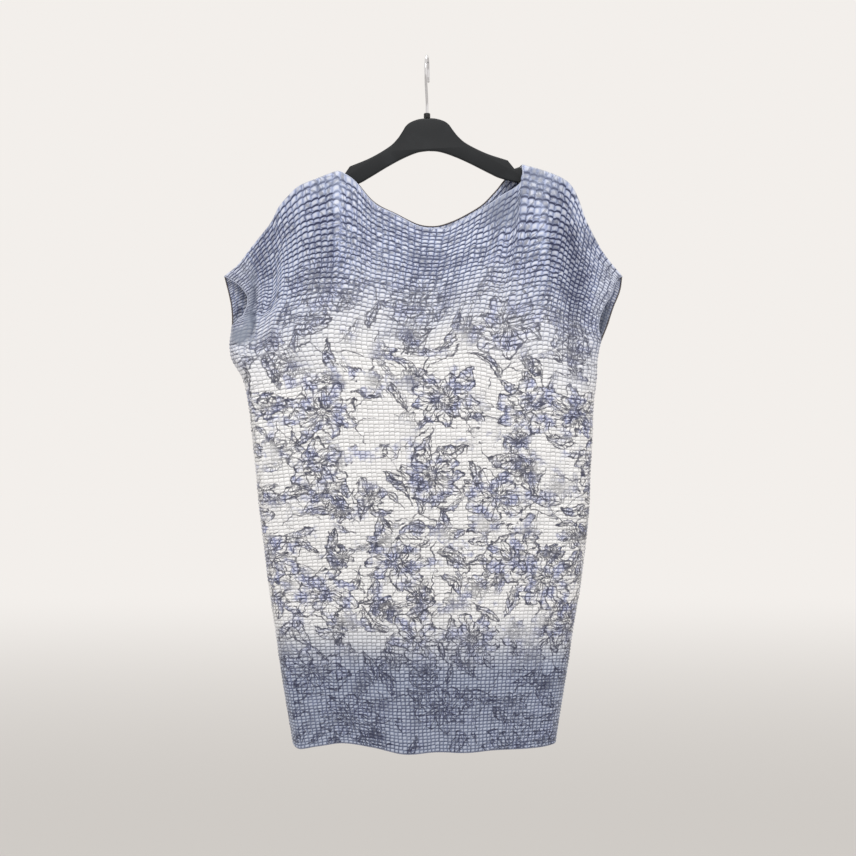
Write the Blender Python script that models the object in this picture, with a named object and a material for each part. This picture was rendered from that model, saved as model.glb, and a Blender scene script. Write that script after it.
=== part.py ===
"""Pleated blouse on a flat hanger, at real size.

The blouse is two rectangles of cloth, heat-set in a grid of small pleats. They are joined by
shoulder and side seams. The middle of the top edges stays open as the neck, and the tops of
the side edges stay open as the sleeve openings.

Sizes are in millimetres until a mesh is made, which is in metres. +Z is up and the front of
the blouse faces -Y. Left and right are as seen from the front. The origin is the inner top of
the hook, where a rail carries it.
"""

import math

import bmesh
import bpy
import numpy as np

MM = 0.001
# Steps in each stretch of a smooth curve
CLOTH_CURVE_SAMPLES = 12
HARD_CURVE_SAMPLES = 2
# Step in shares of a panel's width or height, for its directions
SMALL_SHARE = 1e-4

# Cloth
COLUMNS = 72
WALL = 1.6
PLEAT_HEIGHT = 1.4
SEAM_GAP = 0.3
# The plain inner side has a point at every second pleat, and at every pleat within this many
# columns of a neck point or a side
FINE_COLUMNS = 4

# The neck opening lies between these two columns
NECK_FIRST_COLUMN = 20
NECK_LAST_COLUMN = 52

# Shares of the height, from the top row to the hem, at which a panel has a ring of points
RINGS = (0.0, 0.003, 0.01, 0.026, 0.05, 0.08, 0.11, 0.135, 0.15, 0.16, 0.175, 0.19, 0.215,
         0.26, 0.36, 0.55, 0.78, 0.92, 1.0)
LEFT_UNDERARM = 0.16
RIGHT_UNDERARM = 0.19

# Height of a row at the middle of the blouse
NECK_HEIGHT = -240.0
BODY_LENGTH = 729.5
ROW_STRETCH = 0.085
# How fast the rows relax below the top edge, as a share of the height
RELAX = 0.11
# How sharply the hem's wave fades upwards
HEM_WAVE_POWER = 9

# Top edge from the sleeve tip to the neck: x, z
LEFT_SHOULDER = (
    (-283.5, -305.9),
    (-264.6, -290.0),
    (-247.1, -267.0),
    (-219.8, -232.4),
    (-208.0, -209.5),
    (-191.8, -190.6),
    (-178.5, -179.0),
    (-156.8, -170.0),
    (-127.4, -158.9),
    (-122.0, -159.6),
)
# Top edge from the neck to the sleeve tip: x, z
RIGHT_SHOULDER = (
    (134.4, -149.9),
    (155.4, -155.4),
    (176.4, -162.6),
    (193.2, -170.8),
    (204.4, -182.0),
    (212.8, -199.5),
    (222.5, -227.0),
    (235.0, -252.0),
    (249.2, -276.5),
    (273.0, -305.9),
)
# Neck edges between the two shoulders: x, z
FRONT_NECK = (
    (-122.0, -159.6),
    (-100.8, -174.3),
    (-74.2, -205.1),
    (-42.0, -222.0),
    (-11.2, -237.6),
    (14.0, -240.8),
    (32.2, -238.7),
    (74.2, -214.9),
    (107.8, -192.5),
    (121.0, -180.5),
    (129.0, -166.0),
    (134.4, -149.9),
)
BACK_NECK = (
    (-122.0, -159.6),
    (-100.8, -172.5),
    (-74.2, -202.0),
    (-42.0, -219.0),
    (-11.2, -233.5),
    (14.0, -235.5),
    (36.0, -229.0),
    (56.5, -219.0),
    (78.0, -205.5),
    (98.0, -185.0),
    (112.0, -168.0),
    (134.4, -149.9),
)

# Outline from the front, below the sleeve tips: z, left x, right x
OUTLINE = (
    (-305.9, -283.5, 273.0),
    (-325.5, -278.6, 270.2),
    (-347.9, -274.4, 261.8),
    (-375.9, -273.0, 252.7),
    (-402.5, -276.0, 242.2),
    (-419.3, -274.0, 238.7),
    (-451.5, -256.8, 236.6),
    (-483.7, -249.8, 232.8),
    (-535.5, -243.6, 231.0),
    (-578.9, -239.0, 228.2),
    (-627.9, -234.5, 226.8),
    (-683.9, -227.5, 221.2),
    (-748.3, -219.8, 212.8),
    (-795.9, -212.3, 204.4),
    (-849.1, -205.0, 196.7),
    (-899.5, -197.0, 188.3),
    (-958.3, -186.9, 179.2),
)

# Outline from the side: distance below the shoulder line, depth of the front and of the back
SIDE_PROFILE = (
    (0.0, 11.0, 11.0),
    (25.0, 12.5, 12.0),
    (80.0, 19.0, 16.5),
    (160.0, 27.0, 22.0),
    (260.0, 32.0, 26.0),
    (450.0, 34.0, 27.0),
    (650.0, 31.0, 25.0),
    (820.0, 26.0, 22.0),
)
# How far down the cloth bends over the shoulder line, and how square that bend is
SHOULDER_FOLD_HEIGHT = 8.0
SHOULDER_FOLD_POWER = 2.5
# The cloth lies flatter past the ends of the hanger
ARM_END = 196.0
SLEEVE_LENGTH = 85.0
SLEEVE_FLATTENING = 0.45

# How far the panels wrap round each side: size across, size in depth
LEFT_SIDE_ROUND = 13.0
RIGHT_SIDE_ROUND = 25.0
SIDE_DEPTH = 26.0
ROUND_FULL_AT = 0.25
# Share by which the pleats on the left are wider than the mean at the hem
PLEAT_SKEW = 0.12

# Front edges of the sleeve openings, as lengths round the panel from the outline. The back
# edges are the outline itself. Row share, left, right
SLEEVE_EDGES = (
    (0.0, 0.0, 0.0),
    (0.012, 5.0, 6.0),
    (0.047, 21.0, 11.0),
    (0.08, 31.0, 15.0),
    (0.103, 31.5, 19.5),
    (0.13, 27.5, 24.0),
    (0.147, 17.0, 24.0),
    (0.16, 0.0, 21.5),
    (0.175, 0.0, 14.0),
    (0.19, 0.0, 0.0),
    (1.0, 0.0, 0.0),
)
# Share of the columns over which an edge's shift fades
EDGE_REACH = 0.12
# How suddenly a sleeve opening closes above its seam
GAPE_POWER = 3

# How far the row ends hang below the middle of a row: row share, left, right
SIDE_SAG = (
    (0.0, 0.0, 0.0),
    (0.19, 0.0, 2.0),
    (0.31, 7.0, 6.0),
    (0.45, 8.0, 3.0),
    (0.65, 5.0, 0.0),
    (0.85, 0.0, -3.0),
    (1.0, -11.0, -11.5),
)
SAG_WIDTH = 0.22

# Gentle wave of the hem: share across, distance below the middle of the hem
HEM_WAVE = (
    (0.0, 0.0),
    (0.06, 5.0),
    (0.12, -0.5),
    (0.2, -8.5),
    (0.3, -5.5),
    (0.41, 3.0),
    (0.52, -0.5),
    (0.62, 1.0),
    (0.72, -1.0),
    (0.88, 1.5),
    (1.0, 0.0),
)

# Large soft folds: panel side, x at the top, x at the bottom, top z, bottom z, half width, height
FOLDS = (
    (-1, -131.0, -140.0, -150.0, -400.0, 20.0, 7.0),
    (-1, -212.0, -232.0, -230.0, -430.0, 22.0, -4.0),
    (-1, 166.0, 160.0, -150.0, -360.0, 17.0, 7.0),
    (-1, 206.0, 196.0, -220.0, -450.0, 16.0, -5.0),
    (-1, 20.0, 10.0, -225.0, -420.0, 60.0, 4.0),
    (1, -128.0, -150.0, -150.0, -430.0, 24.0, 6.0),
    (1, 150.0, 165.0, -140.0, -400.0, 22.0, 7.0),
    (1, 5.0, -15.0, -230.0, -520.0, 34.0, -5.0),
    (1, 205.0, 190.0, -230.0, -460.0, 20.0, -4.0),
)
# Shares of a fold's length over which it rises at its top and fades at its bottom
FOLD_RISE = 0.2
FOLD_FADE = 0.6
# Distance below the shoulder line at which the folds reach their full height
FOLD_FULL_DROP = 30.0

# Hanger
HANGER_TILT = math.radians(2.2)
HANGER_THICKNESS = 11.0
HANGER_BEVEL = 2.6
HANGER_BEVEL_SEGMENTS = 2
HANGER_BEVEL_ANGLE = math.radians(60)
DOME_TOP = -85.0
HOOK_HOLE_RADIUS = 2.3
HOOK_HOLE_DEPTH = 14.0
HOOK_HOLE_SIDES = 16
# How far the hole's cutter stands above the dome
CUTTER_RISE = 10.0
# Right half of the hanger's outline, in strokes that meet at corners: x, z
DOME_STROKE = (
    (0.0, DOME_TOP),
    (12.0, -86.2),
    (23.0, -89.8),
    (30.0, -95.0),
    (35.5, -103.0),
    (43.0, -113.0),
    (55.0, -123.5),
    (81.0, -137.5),
    (110.6, -148.5),
)
NOTCH_STROKE = (
    (110.6, -148.5),
    (119.5, -160.5),
    (126.0, -158.5),
)
ARM_TOP_STROKE = (
    (126.0, -158.5),
    (153.0, -165.5),
    (174.0, -173.0),
    (184.0, -182.0),
    (189.0, -191.0),
)
ARM_END_STROKE = (
    (189.0, -191.0),
    (187.5, -198.0),
    (180.0, -200.5),
)
LOWER_STROKE = (
    (180.0, -200.5),
    (155.0, -191.0),
    (125.0, -181.0),
    (99.0, -173.0),
    (84.0, -165.5),
    (55.0, -149.5),
    (33.0, -139.0),
    (15.0, -132.7),
    (0.0, -131.0),
)

# Collar
COLLAR_RADIUS = 4.6
COLLAR_BORE = 2.4
COLLAR_TOP = -77.7
COLLAR_BOTTOM = DOME_TOP + SEAM_GAP
COLLAR_CHAMFER = 1.0
COLLAR_SIDES = 20

# Hook: a wire bent in the plane that runs from front to back
WIRE_RADIUS = 2.0
WIRE_BEVEL_RESOLUTION = 2
HOOK_INNER_RADIUS = 18.0
HOOK_TURN = math.radians(5.0)
HOOK_ARC_POINTS = 16
HOOK_END = DOME_TOP - HOOK_HOLE_DEPTH + SEAM_GAP
# Shank below the arc, as distance behind the hook's axis and z
SHANK_ROUTE = (
    (-20.0, -18.0),
    (-19.3, -27.0),
    (-15.5, -38.0),
    (-8.5, -49.0),
    (-2.5, -59.0),
    (-0.2, -68.0),
    (0.0, -78.0),
    (0.0, HOOK_END),
)
TIP_ROUTE = (
    (22.3, -33.0),
    (20.6, -25.0),
)

# Colour, roughness and metallic value of each material
CLOTH_LOOK = ((0.62, 0.65, 0.76, 1.0), 0.55, 0.0)
HANGER_LOOK = ((0.018, 0.019, 0.021, 1.0), 0.45, 0.0)
COLLAR_LOOK = ((0.012, 0.012, 0.013, 1.0), 0.4, 0.0)
CHROME_LOOK = ((0.8, 0.8, 0.82, 1.0), 0.12, 1.0)


def smooth_curve(points, samples):
    """Points of a smooth curve through the given ones, with samples in each stretch."""
    places = np.array(points, dtype=float)
    tangents = np.gradient(places, axis=0)
    curve = []
    for first in range(len(places) - 1):
        for step in range(samples):
            t = step / samples
            curve.append(
                places[first] * (2 * t**3 - 3 * t**2 + 1)
                + tangents[first] * (t**3 - 2 * t**2 + t)
                + places[first + 1] * (3 * t**2 - 2 * t**3)
                + tangents[first + 1] * (t**3 - t**2)
            )
    curve.append(places[-1])
    return np.array(curve)


def evenly_spaced(curve, shares):
    """Points of a curve at the given shares of its length."""
    steps = np.linalg.norm(np.diff(curve, axis=0), axis=1)
    length = np.concatenate([[0.0], np.cumsum(steps)])
    return [np.interp(shares * length[-1], length, curve[:, axis]) for axis in range(2)]


def smooth_table(rows, column, at):
    """Value of a table's column, smooth between its rows, which rise in their first column."""
    table = np.array(rows, dtype=float)
    xs = table[:, 0]
    ys = table[:, column]
    slopes = np.gradient(ys, xs)
    at = np.clip(at, xs[0], xs[-1])
    k = np.clip(np.searchsorted(xs, at, side="right") - 1, 0, len(xs) - 2)
    width = xs[k + 1] - xs[k]
    t = (at - xs[k]) / width
    return (
        ys[k] * (2 * t**3 - 3 * t**2 + 1)
        + slopes[k] * width * (t**3 - 2 * t**2 + t)
        + ys[k + 1] * (3 * t**2 - 2 * t**3)
        + slopes[k + 1] * width * (t**3 - t**2)
    )


def straight_table(rows, column, at):
    """Value of a table's column, straight between its rows."""
    table = np.array(rows, dtype=float)
    return np.interp(at, table[:, 0], table[:, column])


def ramp(share):
    """Smooth rise from 0 to 1 while the share goes from 0 to 1."""
    t = np.clip(share, 0.0, 1.0)
    return t * t * (3 - 2 * t)


LEFT_CURVE = smooth_curve(LEFT_SHOULDER, CLOTH_CURVE_SAMPLES)
RIGHT_CURVE = smooth_curve(RIGHT_SHOULDER, CLOTH_CURVE_SAMPLES)
NECK_CURVES = {
    -1: smooth_curve(FRONT_NECK, CLOTH_CURVE_SAMPLES),
    1: smooth_curve(BACK_NECK, CLOTH_CURVE_SAMPLES),
}
SHOULDER_LINE = np.concatenate([LEFT_CURVE, RIGHT_CURVE])


def top_edge(side, u):
    """x and z of a panel's top edge, for shares u across its columns."""
    column = u * COLUMNS
    first = NECK_FIRST_COLUMN
    last = NECK_LAST_COLUMN
    left = evenly_spaced(LEFT_CURVE, np.clip(column / first, 0, 1))
    neck = evenly_spaced(NECK_CURVES[side], np.clip((column - first) / (last - first), 0, 1))
    right = evenly_spaced(RIGHT_CURVE, np.clip((column - last) / (COLUMNS - last), 0, 1))
    on_left = column < first
    on_right = column > last
    return [
        np.where(on_left, left[axis], np.where(on_right, right[axis], neck[axis]))
        for axis in range(2)
    ]


def row_height(side, u, v):
    """z of row v at column share u."""
    middle = NECK_HEIGHT - BODY_LENGTH * v * (1 + ROW_STRETCH * (1 - v))
    rise = (top_edge(side, u)[1] - NECK_HEIGHT) * np.exp(-v / RELAX)
    left_end = np.exp(-((u / SAG_WIDTH) ** 2))
    right_end = np.exp(-(((1 - u) / SAG_WIDTH) ** 2))
    sag = smooth_table(SIDE_SAG, 1, v) * left_end + smooth_table(SIDE_SAG, 2, v) * right_end
    wave = smooth_table(HEM_WAVE, 1, u) * v**HEM_WAVE_POWER
    return middle + rise - sag - wave


def distance_below_shoulder(x, z):
    """Distance from the shoulder line, seen from the front."""
    places = np.stack([x, z], axis=-1)
    nearest = np.full(x.shape, np.inf)
    for start, end in zip(SHOULDER_LINE, SHOULDER_LINE[1:]):
        along = end - start
        share = np.clip(((places - start) @ along) / (along @ along), 0, 1)
        offset = places - start - share[..., None] * along
        nearest = np.minimum(nearest, np.hypot(offset[..., 0], offset[..., 1]))
    return nearest


def fold_relief(panel, x, z):
    """How far the large folds stand out of the front or back."""
    relief = np.zeros_like(x)
    for side, x_top, x_bottom, z_top, z_bottom, half_width, height in FOLDS:
        down = (z_top - z) / (z_top - z_bottom)
        middle = x_top + (x_bottom - x_top) * down
        shape = np.exp(-(((x - middle) / half_width) ** 2))
        fade = ramp(down / FOLD_RISE) * ramp((1 - down) / FOLD_FADE)
        if side == panel:
            relief += height * shape * fade
    return relief


def round_side(arc, across, quarter):
    """Distance inward and share of the full depth, for a length round the side."""
    angle = np.clip(arc / np.maximum(quarter, 1e-6), 0.0, 1.0) * math.pi / 2
    inward = across * (1 - np.cos(angle)) + np.maximum(arc - quarter, 0.0)
    return inward, np.sin(angle)


def gape(share, down):
    """Share of the full depth near a side, where the sleeve opening stands open above the seam."""
    opening = 1 - np.clip(down, 0.0, 1.0) ** GAPE_POWER
    return opening + (1 - opening) * share


def surface(side, u, v):
    """Points of a panel's pleat valleys. side is -1 for the front and 1 for the back."""
    z = row_height(side, u, v)
    zeros = np.zeros_like(u)
    left_x = smooth_table(OUTLINE[::-1], 1, row_height(side, zeros, v))
    right_x = smooth_table(OUTLINE[::-1], 2, row_height(side, zeros + 1, v))

    full = ramp(v / ROUND_FULL_AT)
    left_across = LEFT_SIDE_ROUND * full
    right_across = RIGHT_SIDE_ROUND * full
    side_depth = SIDE_DEPTH * full
    left_quarter = np.hypot(left_across, side_depth) * math.pi / math.sqrt(8)
    right_quarter = np.hypot(right_across, side_depth) * math.pi / math.sqrt(8)

    front = 1.0 if side < 0 else 0.0
    start = straight_table(SLEEVE_EDGES, 1, v) * front
    end = straight_table(SLEEVE_EDGES, 2, v) * front
    length = left_quarter + right_quarter + right_x - left_x - left_across - right_across
    arc = length * (u + PLEAT_SKEW * v * u * (1 - u))
    arc += start * np.exp(-u / EDGE_REACH) * (1 - u)
    arc -= end * np.exp((u - 1) / EDGE_REACH) * u

    from_left, left_share = round_side(arc, left_across, left_quarter)
    from_right, right_share = round_side(length - arc, right_across, right_quarter)
    x = np.where(arc < length / 2, left_x + from_left, right_x - from_right)
    edge_x = LEFT_SHOULDER[0][0] + u * (RIGHT_SHOULDER[-1][0] - LEFT_SHOULDER[0][0])
    x = x + (top_edge(side, u)[0] - edge_x) * np.exp(-v / RELAX)

    drop = distance_below_shoulder(x, z)
    depth = smooth_table(SIDE_PROFILE, 1 if side < 0 else 2, drop)
    folded = 1 - np.clip(1 - drop / SHOULDER_FOLD_HEIGHT, 0, 1) ** SHOULDER_FOLD_POWER
    depth = depth * folded ** (1 / SHOULDER_FOLD_POWER)
    depth = depth * (1 - SLEEVE_FLATTENING * ramp((np.abs(x) - ARM_END) / SLEEVE_LENGTH) * (1 - full))
    depth = depth + fold_relief(side, x, z) * ramp(drop / FOLD_FULL_DROP)
    left_share = gape(left_share, v / LEFT_UNDERARM)
    right_share = gape(right_share, v / RIGHT_UNDERARM)
    y = side * depth * left_share * right_share
    return np.stack([x, y, z], axis=-1)


def unit(vectors):
    """Vectors of length 1."""
    return vectors / np.maximum(np.linalg.norm(vectors, axis=-1, keepdims=True), 1e-12)


def outward_normals(side, u, v):
    """Directions straight out of a panel's outer side."""
    right = surface(side, np.minimum(u + SMALL_SHARE, 1), v)
    left = surface(side, np.maximum(u - SMALL_SHARE, 0), v)
    below = surface(side, u, np.minimum(v + SMALL_SHARE, 1))
    above = surface(side, u, np.maximum(v - SMALL_SHARE, 0))
    return side * unit(np.cross(right - left, below - above))


def on_shoulder(u):
    """True on the columns whose top end is sewn."""
    column = np.round(u * COLUMNS, 3)
    return (column <= NECK_FIRST_COLUMN) | (column >= NECK_LAST_COLUMN)


def panel_points(side, u, v):
    """Valley points and outward directions of a panel, drawn back from its seams by half a gap."""
    points = surface(side, u, v)
    normals = outward_normals(side, u, v)
    half_gap = SEAM_GAP / 2

    shoulder = (v <= 0) & on_shoulder(u)
    normals[shoulder, 1] = 0.0
    points[shoulder, 1] = side * half_gap

    for edge, inward, underarm in ((0.0, 1, LEFT_UNDERARM), (1.0, -1, RIGHT_UNDERARM)):
        seam = (u == edge) & (v >= underarm)
        at_edge = np.full_like(u, edge)
        beside = surface(-1, at_edge + inward * SMALL_SHARE, v)
        into_front = unit(beside - surface(-1, at_edge, v))
        normals[seam] = outward_normals(-1, at_edge, v)[seam]
        points[seam] -= side * half_gap * into_front[seam]
    return points, unit(normals)


def close_rim(mesh, outer_chain, inner_chain, spans):
    """Joins the outer and inner borders. Each inner stretch lies under several outer ones."""
    start = 0
    for k, span in enumerate(spans):
        near = inner_chain[k]
        far = inner_chain[k + 1]
        middle = start + span // 2
        for step in range(start, middle):
            mesh.faces.new((near, outer_chain[step], outer_chain[step + 1]))
        mesh.faces.new((near, outer_chain[middle], far))
        for step in range(middle, start + span):
            mesh.faces.new((far, outer_chain[step], outer_chain[step + 1]))
        start += span


def add_grid(mesh, points):
    """Adds a grid of points and the faces between them, and returns its vertices."""
    vertices = [[mesh.verts.new(point * MM) for point in row] for row in points]
    for upper, lower in zip(vertices, vertices[1:]):
        for k in range(len(upper) - 1):
            mesh.faces.new((upper[k], upper[k + 1], lower[k + 1], lower[k]))
    return vertices


def inner_columns():
    """Numbers of the outer points under which the plain inner side has a point."""
    special = (0, NECK_FIRST_COLUMN, NECK_LAST_COLUMN, COLUMNS)
    return [
        2 * column for column in range(COLUMNS + 1)
        if column % 2 == 0 or min(abs(column - place) for place in special) < FINE_COLUMNS
    ]


def make_panel(name, side, material):
    """One cloth panel: pleats raised on the outer side over a plain inner side."""
    shares = np.arange(2 * COLUMNS + 1) / (2 * COLUMNS)
    u, v = np.meshgrid(shares, np.array(RINGS))
    points, normals = panel_points(side, u, v)
    relief = np.where(np.arange(2 * COLUMNS + 1) % 2 == 1, PLEAT_HEIGHT, 0.0)
    outer = points + normals * relief[None, :, None]
    columns = inner_columns()
    inner = (points - normals * WALL)[:, columns]

    mesh = bmesh.new()
    outer_grid = add_grid(mesh, outer)
    inner_grid = add_grid(mesh, inner)
    across = [b - a for a, b in zip(columns, columns[1:])]
    down = [1] * (len(RINGS) - 1)
    close_rim(mesh, outer_grid[0], inner_grid[0], across)
    close_rim(mesh, outer_grid[-1], inner_grid[-1], across)
    for end in (0, -1):
        outer_edge = [row[end] for row in outer_grid]
        inner_edge = [row[end] for row in inner_grid]
        close_rim(mesh, outer_edge, inner_edge, down)
    bmesh.ops.recalc_face_normals(mesh, faces=mesh.faces)
    return finish_mesh(name, mesh, material)


def finish_mesh(name, mesh, material):
    """Turns a bmesh into a named object with its material."""
    data = bpy.data.meshes.new(name)
    mesh.to_mesh(data)
    mesh.free()
    data.materials.append(material)
    thing = bpy.data.objects.new(name, data)
    bpy.context.scene.collection.objects.link(thing)
    return thing


def make_material(name, colour, roughness, metallic):
    """A plain material with the colour and gloss of the real one."""
    material = bpy.data.materials.new(name)
    material.use_nodes = True
    shader = material.node_tree.nodes["Principled BSDF"]
    shader.inputs["Base Color"].default_value = colour
    shader.inputs["Roughness"].default_value = roughness
    shader.inputs["Metallic"].default_value = metallic
    return material


def hanger_outline():
    """Outline of the hanger's body, turned by its tilt about the top of the dome."""
    half = []
    half.extend(smooth_curve(DOME_STROKE, HARD_CURVE_SAMPLES)[:-1])
    half.extend(np.array(NOTCH_STROKE)[:-1])
    for stroke in (ARM_TOP_STROKE, ARM_END_STROKE, LOWER_STROKE):
        half.extend(smooth_curve(stroke, HARD_CURVE_SAMPLES)[:-1])
    half.append(np.array(LOWER_STROKE[-1]))
    other = [np.array((-x, z)) for x, z in reversed(half[1:-1])]
    turn = np.array((
        (math.cos(HANGER_TILT), -math.sin(HANGER_TILT)),
        (math.sin(HANGER_TILT), math.cos(HANGER_TILT)),
    ))
    pivot = np.array((0.0, DOME_TOP))
    return [turn @ (point - pivot) + pivot for point in half + other]


def make_hanger_body(material, cutter):
    """Flat moulded body with bevelled edges and a hole for the hook's shank."""
    mesh = bmesh.new()
    half = HANGER_THICKNESS / 2
    outline = [mesh.verts.new((x * MM, -half * MM, z * MM)) for x, z in hanger_outline()]
    face = mesh.faces.new(outline)
    extruded = bmesh.ops.extrude_face_region(mesh, geom=[face])
    moved = [item for item in extruded["geom"] if isinstance(item, bmesh.types.BMVert)]
    bmesh.ops.translate(mesh, verts=moved, vec=(0, HANGER_THICKNESS * MM, 0))
    bmesh.ops.recalc_face_normals(mesh, faces=mesh.faces)
    body = finish_mesh("hanger_body", mesh, material)
    bevel = body.modifiers.new("rounded edges", "BEVEL")
    bevel.width = HANGER_BEVEL * MM
    bevel.segments = HANGER_BEVEL_SEGMENTS
    bevel.limit_method = "ANGLE"
    bevel.angle_limit = HANGER_BEVEL_ANGLE
    hole = body.modifiers.new("hook hole", "BOOLEAN")
    hole.operation = "DIFFERENCE"
    hole.object = cutter
    return body


def ring_of_points(radius, height):
    """Points of a level circle round the collar's axis."""
    turns = np.arange(COLLAR_SIDES) * 2 * math.pi / COLLAR_SIDES
    return [np.array((radius * math.cos(t), radius * math.sin(t), height)) for t in turns]


def make_cutter():
    """The cylinder that makes the hook's hole."""
    mesh = bmesh.new()
    depth = HOOK_HOLE_DEPTH + CUTTER_RISE
    bmesh.ops.create_cone(
        mesh, cap_ends=True, segments=HOOK_HOLE_SIDES, radius1=HOOK_HOLE_RADIUS * MM,
        radius2=HOOK_HOLE_RADIUS * MM, depth=depth * MM,
    )
    middle = DOME_TOP - HOOK_HOLE_DEPTH + depth / 2
    bmesh.ops.translate(mesh, verts=mesh.verts, vec=(0, 0, middle * MM))
    data = bpy.data.meshes.new("hook_hole_cutter")
    mesh.to_mesh(data)
    mesh.free()
    cutter = bpy.data.objects.new("hook_hole_cutter", data)
    bpy.context.scene.collection.objects.link(cutter)
    cutter.hide_render = True
    cutter.display_type = "WIRE"
    return cutter


def make_collar(material):
    """Ring round the shank, with a chamfered top edge, turned from its profile."""
    profile = (
        (COLLAR_BORE, COLLAR_BOTTOM),
        (COLLAR_RADIUS, COLLAR_BOTTOM),
        (COLLAR_RADIUS, COLLAR_TOP - COLLAR_CHAMFER),
        (COLLAR_RADIUS - COLLAR_CHAMFER, COLLAR_TOP),
        (COLLAR_BORE, COLLAR_TOP),
    )
    mesh = bmesh.new()
    rings = [
        [mesh.verts.new(point * MM) for point in ring_of_points(radius, height)]
        for radius, height in profile
    ]
    for first, second in zip(rings, rings[1:] + rings[:1]):
        for k in range(COLLAR_SIDES):
            after = (k + 1) % COLLAR_SIDES
            mesh.faces.new((first[k], first[after], second[after], second[k]))
    bmesh.ops.recalc_face_normals(mesh, faces=mesh.faces)
    return finish_mesh("hanger_collar", mesh, material)


def hook_route():
    """Middle of the wire, as distance behind the hook's axis and z."""
    radius = HOOK_INNER_RADIUS + WIRE_RADIUS
    centre = -HOOK_INNER_RADIUS
    angles = np.linspace(0.0, math.pi, HOOK_ARC_POINTS)
    arc = [(radius * math.cos(t), centre + radius * math.sin(t)) for t in angles]
    shank = smooth_curve(SHANK_ROUTE, HARD_CURVE_SAMPLES)[1:]
    return list(TIP_ROUTE) + arc + [tuple(point) for point in shank]


def make_hook(material):
    """Bent wire hook."""
    data = bpy.data.curves.new("hanger_hook", "CURVE")
    data.dimensions = "3D"
    data.bevel_depth = WIRE_RADIUS * MM
    data.bevel_resolution = WIRE_BEVEL_RESOLUTION
    data.use_fill_caps = True
    spline = data.splines.new("POLY")
    route = hook_route()
    spline.points.add(len(route) - 1)
    for point, (behind, height) in zip(spline.points, route):
        x = behind * math.sin(HOOK_TURN)
        y = behind * math.cos(HOOK_TURN)
        point.co = (x * MM, y * MM, height * MM, 1.0)
    data.materials.append(material)
    hook = bpy.data.objects.new("hanger_hook", data)
    bpy.context.scene.collection.objects.link(hook)
    return hook


def main():
    """Clears the scene and makes the five pieces."""
    for thing in list(bpy.data.objects):
        bpy.data.objects.remove(thing, do_unlink=True)
    make_panel("front_panel", -1, make_material("front cloth", *CLOTH_LOOK))
    make_panel("back_panel", 1, make_material("back cloth", *CLOTH_LOOK))
    cutter = make_cutter()
    make_hanger_body(make_material("hanger plastic", *HANGER_LOOK), cutter)
    make_collar(make_material("collar plastic", *COLLAR_LOOK))
    make_hook(make_material("chrome", *CHROME_LOOK))


main()
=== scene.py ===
"""Looks of the pleated blouse on its flat hanger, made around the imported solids.

The cloth repeats the solids' tables and surface, in millimetres, and adds the rows of small
pleats, creases, sewn edges and print. Left and right are as seen from the front.
"""

import functools
import math

import bmesh
import bpy
import numpy as np
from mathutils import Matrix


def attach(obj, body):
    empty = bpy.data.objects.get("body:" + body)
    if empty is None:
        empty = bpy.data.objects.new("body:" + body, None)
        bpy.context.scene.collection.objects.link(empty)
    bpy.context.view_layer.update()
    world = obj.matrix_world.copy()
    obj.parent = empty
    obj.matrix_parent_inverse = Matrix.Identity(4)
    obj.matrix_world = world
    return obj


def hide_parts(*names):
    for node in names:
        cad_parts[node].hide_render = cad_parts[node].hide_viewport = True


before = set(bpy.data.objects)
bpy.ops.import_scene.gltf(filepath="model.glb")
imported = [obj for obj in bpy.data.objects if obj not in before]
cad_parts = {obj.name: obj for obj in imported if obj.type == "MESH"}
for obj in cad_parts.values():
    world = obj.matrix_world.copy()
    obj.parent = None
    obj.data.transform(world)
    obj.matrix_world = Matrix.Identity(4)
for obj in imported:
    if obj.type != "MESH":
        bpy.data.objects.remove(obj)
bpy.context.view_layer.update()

MM = 0.001
# Points in each stretch of a curve, for the cloth and for the hanger
SMOOTH_CURVE_SAMPLES = 12
HARD_CURVE_SAMPLES = 8

# Pleats of a panel
COLUMNS = 72
ROWS = 143
# Places of the mesh points inside each pleat, as shares of its width and height
CELL_POINTS = (0.0, 0.3, 0.7)
INNER_COLUMN_STEP = 6
INNER_ROW_STEP = 3
PLEAT_HEIGHT = 1.35
PILLOW_POWER = 2.6
# Over 1, this sets a pleat's crest nearer to its lower edge
ROW_LEAN = 1.35
# Share of a pleat's height that is left in the valley between two columns
COLUMN_VALLEY = 0.4
CLOTH_THICKNESS = 1.1
SEAM_GAP = 0.1
COLUMN_WIDTH = 6.8
ROW_LENGTH = 5.3

NECK_FIRST_COLUMN = 20
NECK_LAST_COLUMN = 52
LEFT_UNDERARM = 0.16
RIGHT_UNDERARM = 0.19

# Height of a row at the middle of the blouse
NECK_HEIGHT = -240.0
BODY_LENGTH = 729.5
ROW_STRETCH = 0.085
# How fast the rows relax below the top edge, as a share of the height
RELAX = 0.11
HEM_WAVE_POWER = 9

# Top edge from the sleeve tip to the neck: x, z
LEFT_SHOULDER = (
    (-283.5, -305.9),
    (-264.6, -290.0),
    (-247.1, -267.0),
    (-219.8, -232.4),
    (-208.0, -209.5),
    (-191.8, -190.6),
    (-178.5, -179.0),
    (-156.8, -170.0),
    (-127.4, -158.9),
    (-122.0, -159.6),
)
# Top edge from the neck to the sleeve tip: x, z
RIGHT_SHOULDER = (
    (134.4, -149.9),
    (155.4, -155.4),
    (176.4, -162.6),
    (193.2, -170.8),
    (204.4, -182.0),
    (212.8, -199.5),
    (222.5, -227.0),
    (235.0, -252.0),
    (249.2, -276.5),
    (273.0, -305.9),
)
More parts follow.
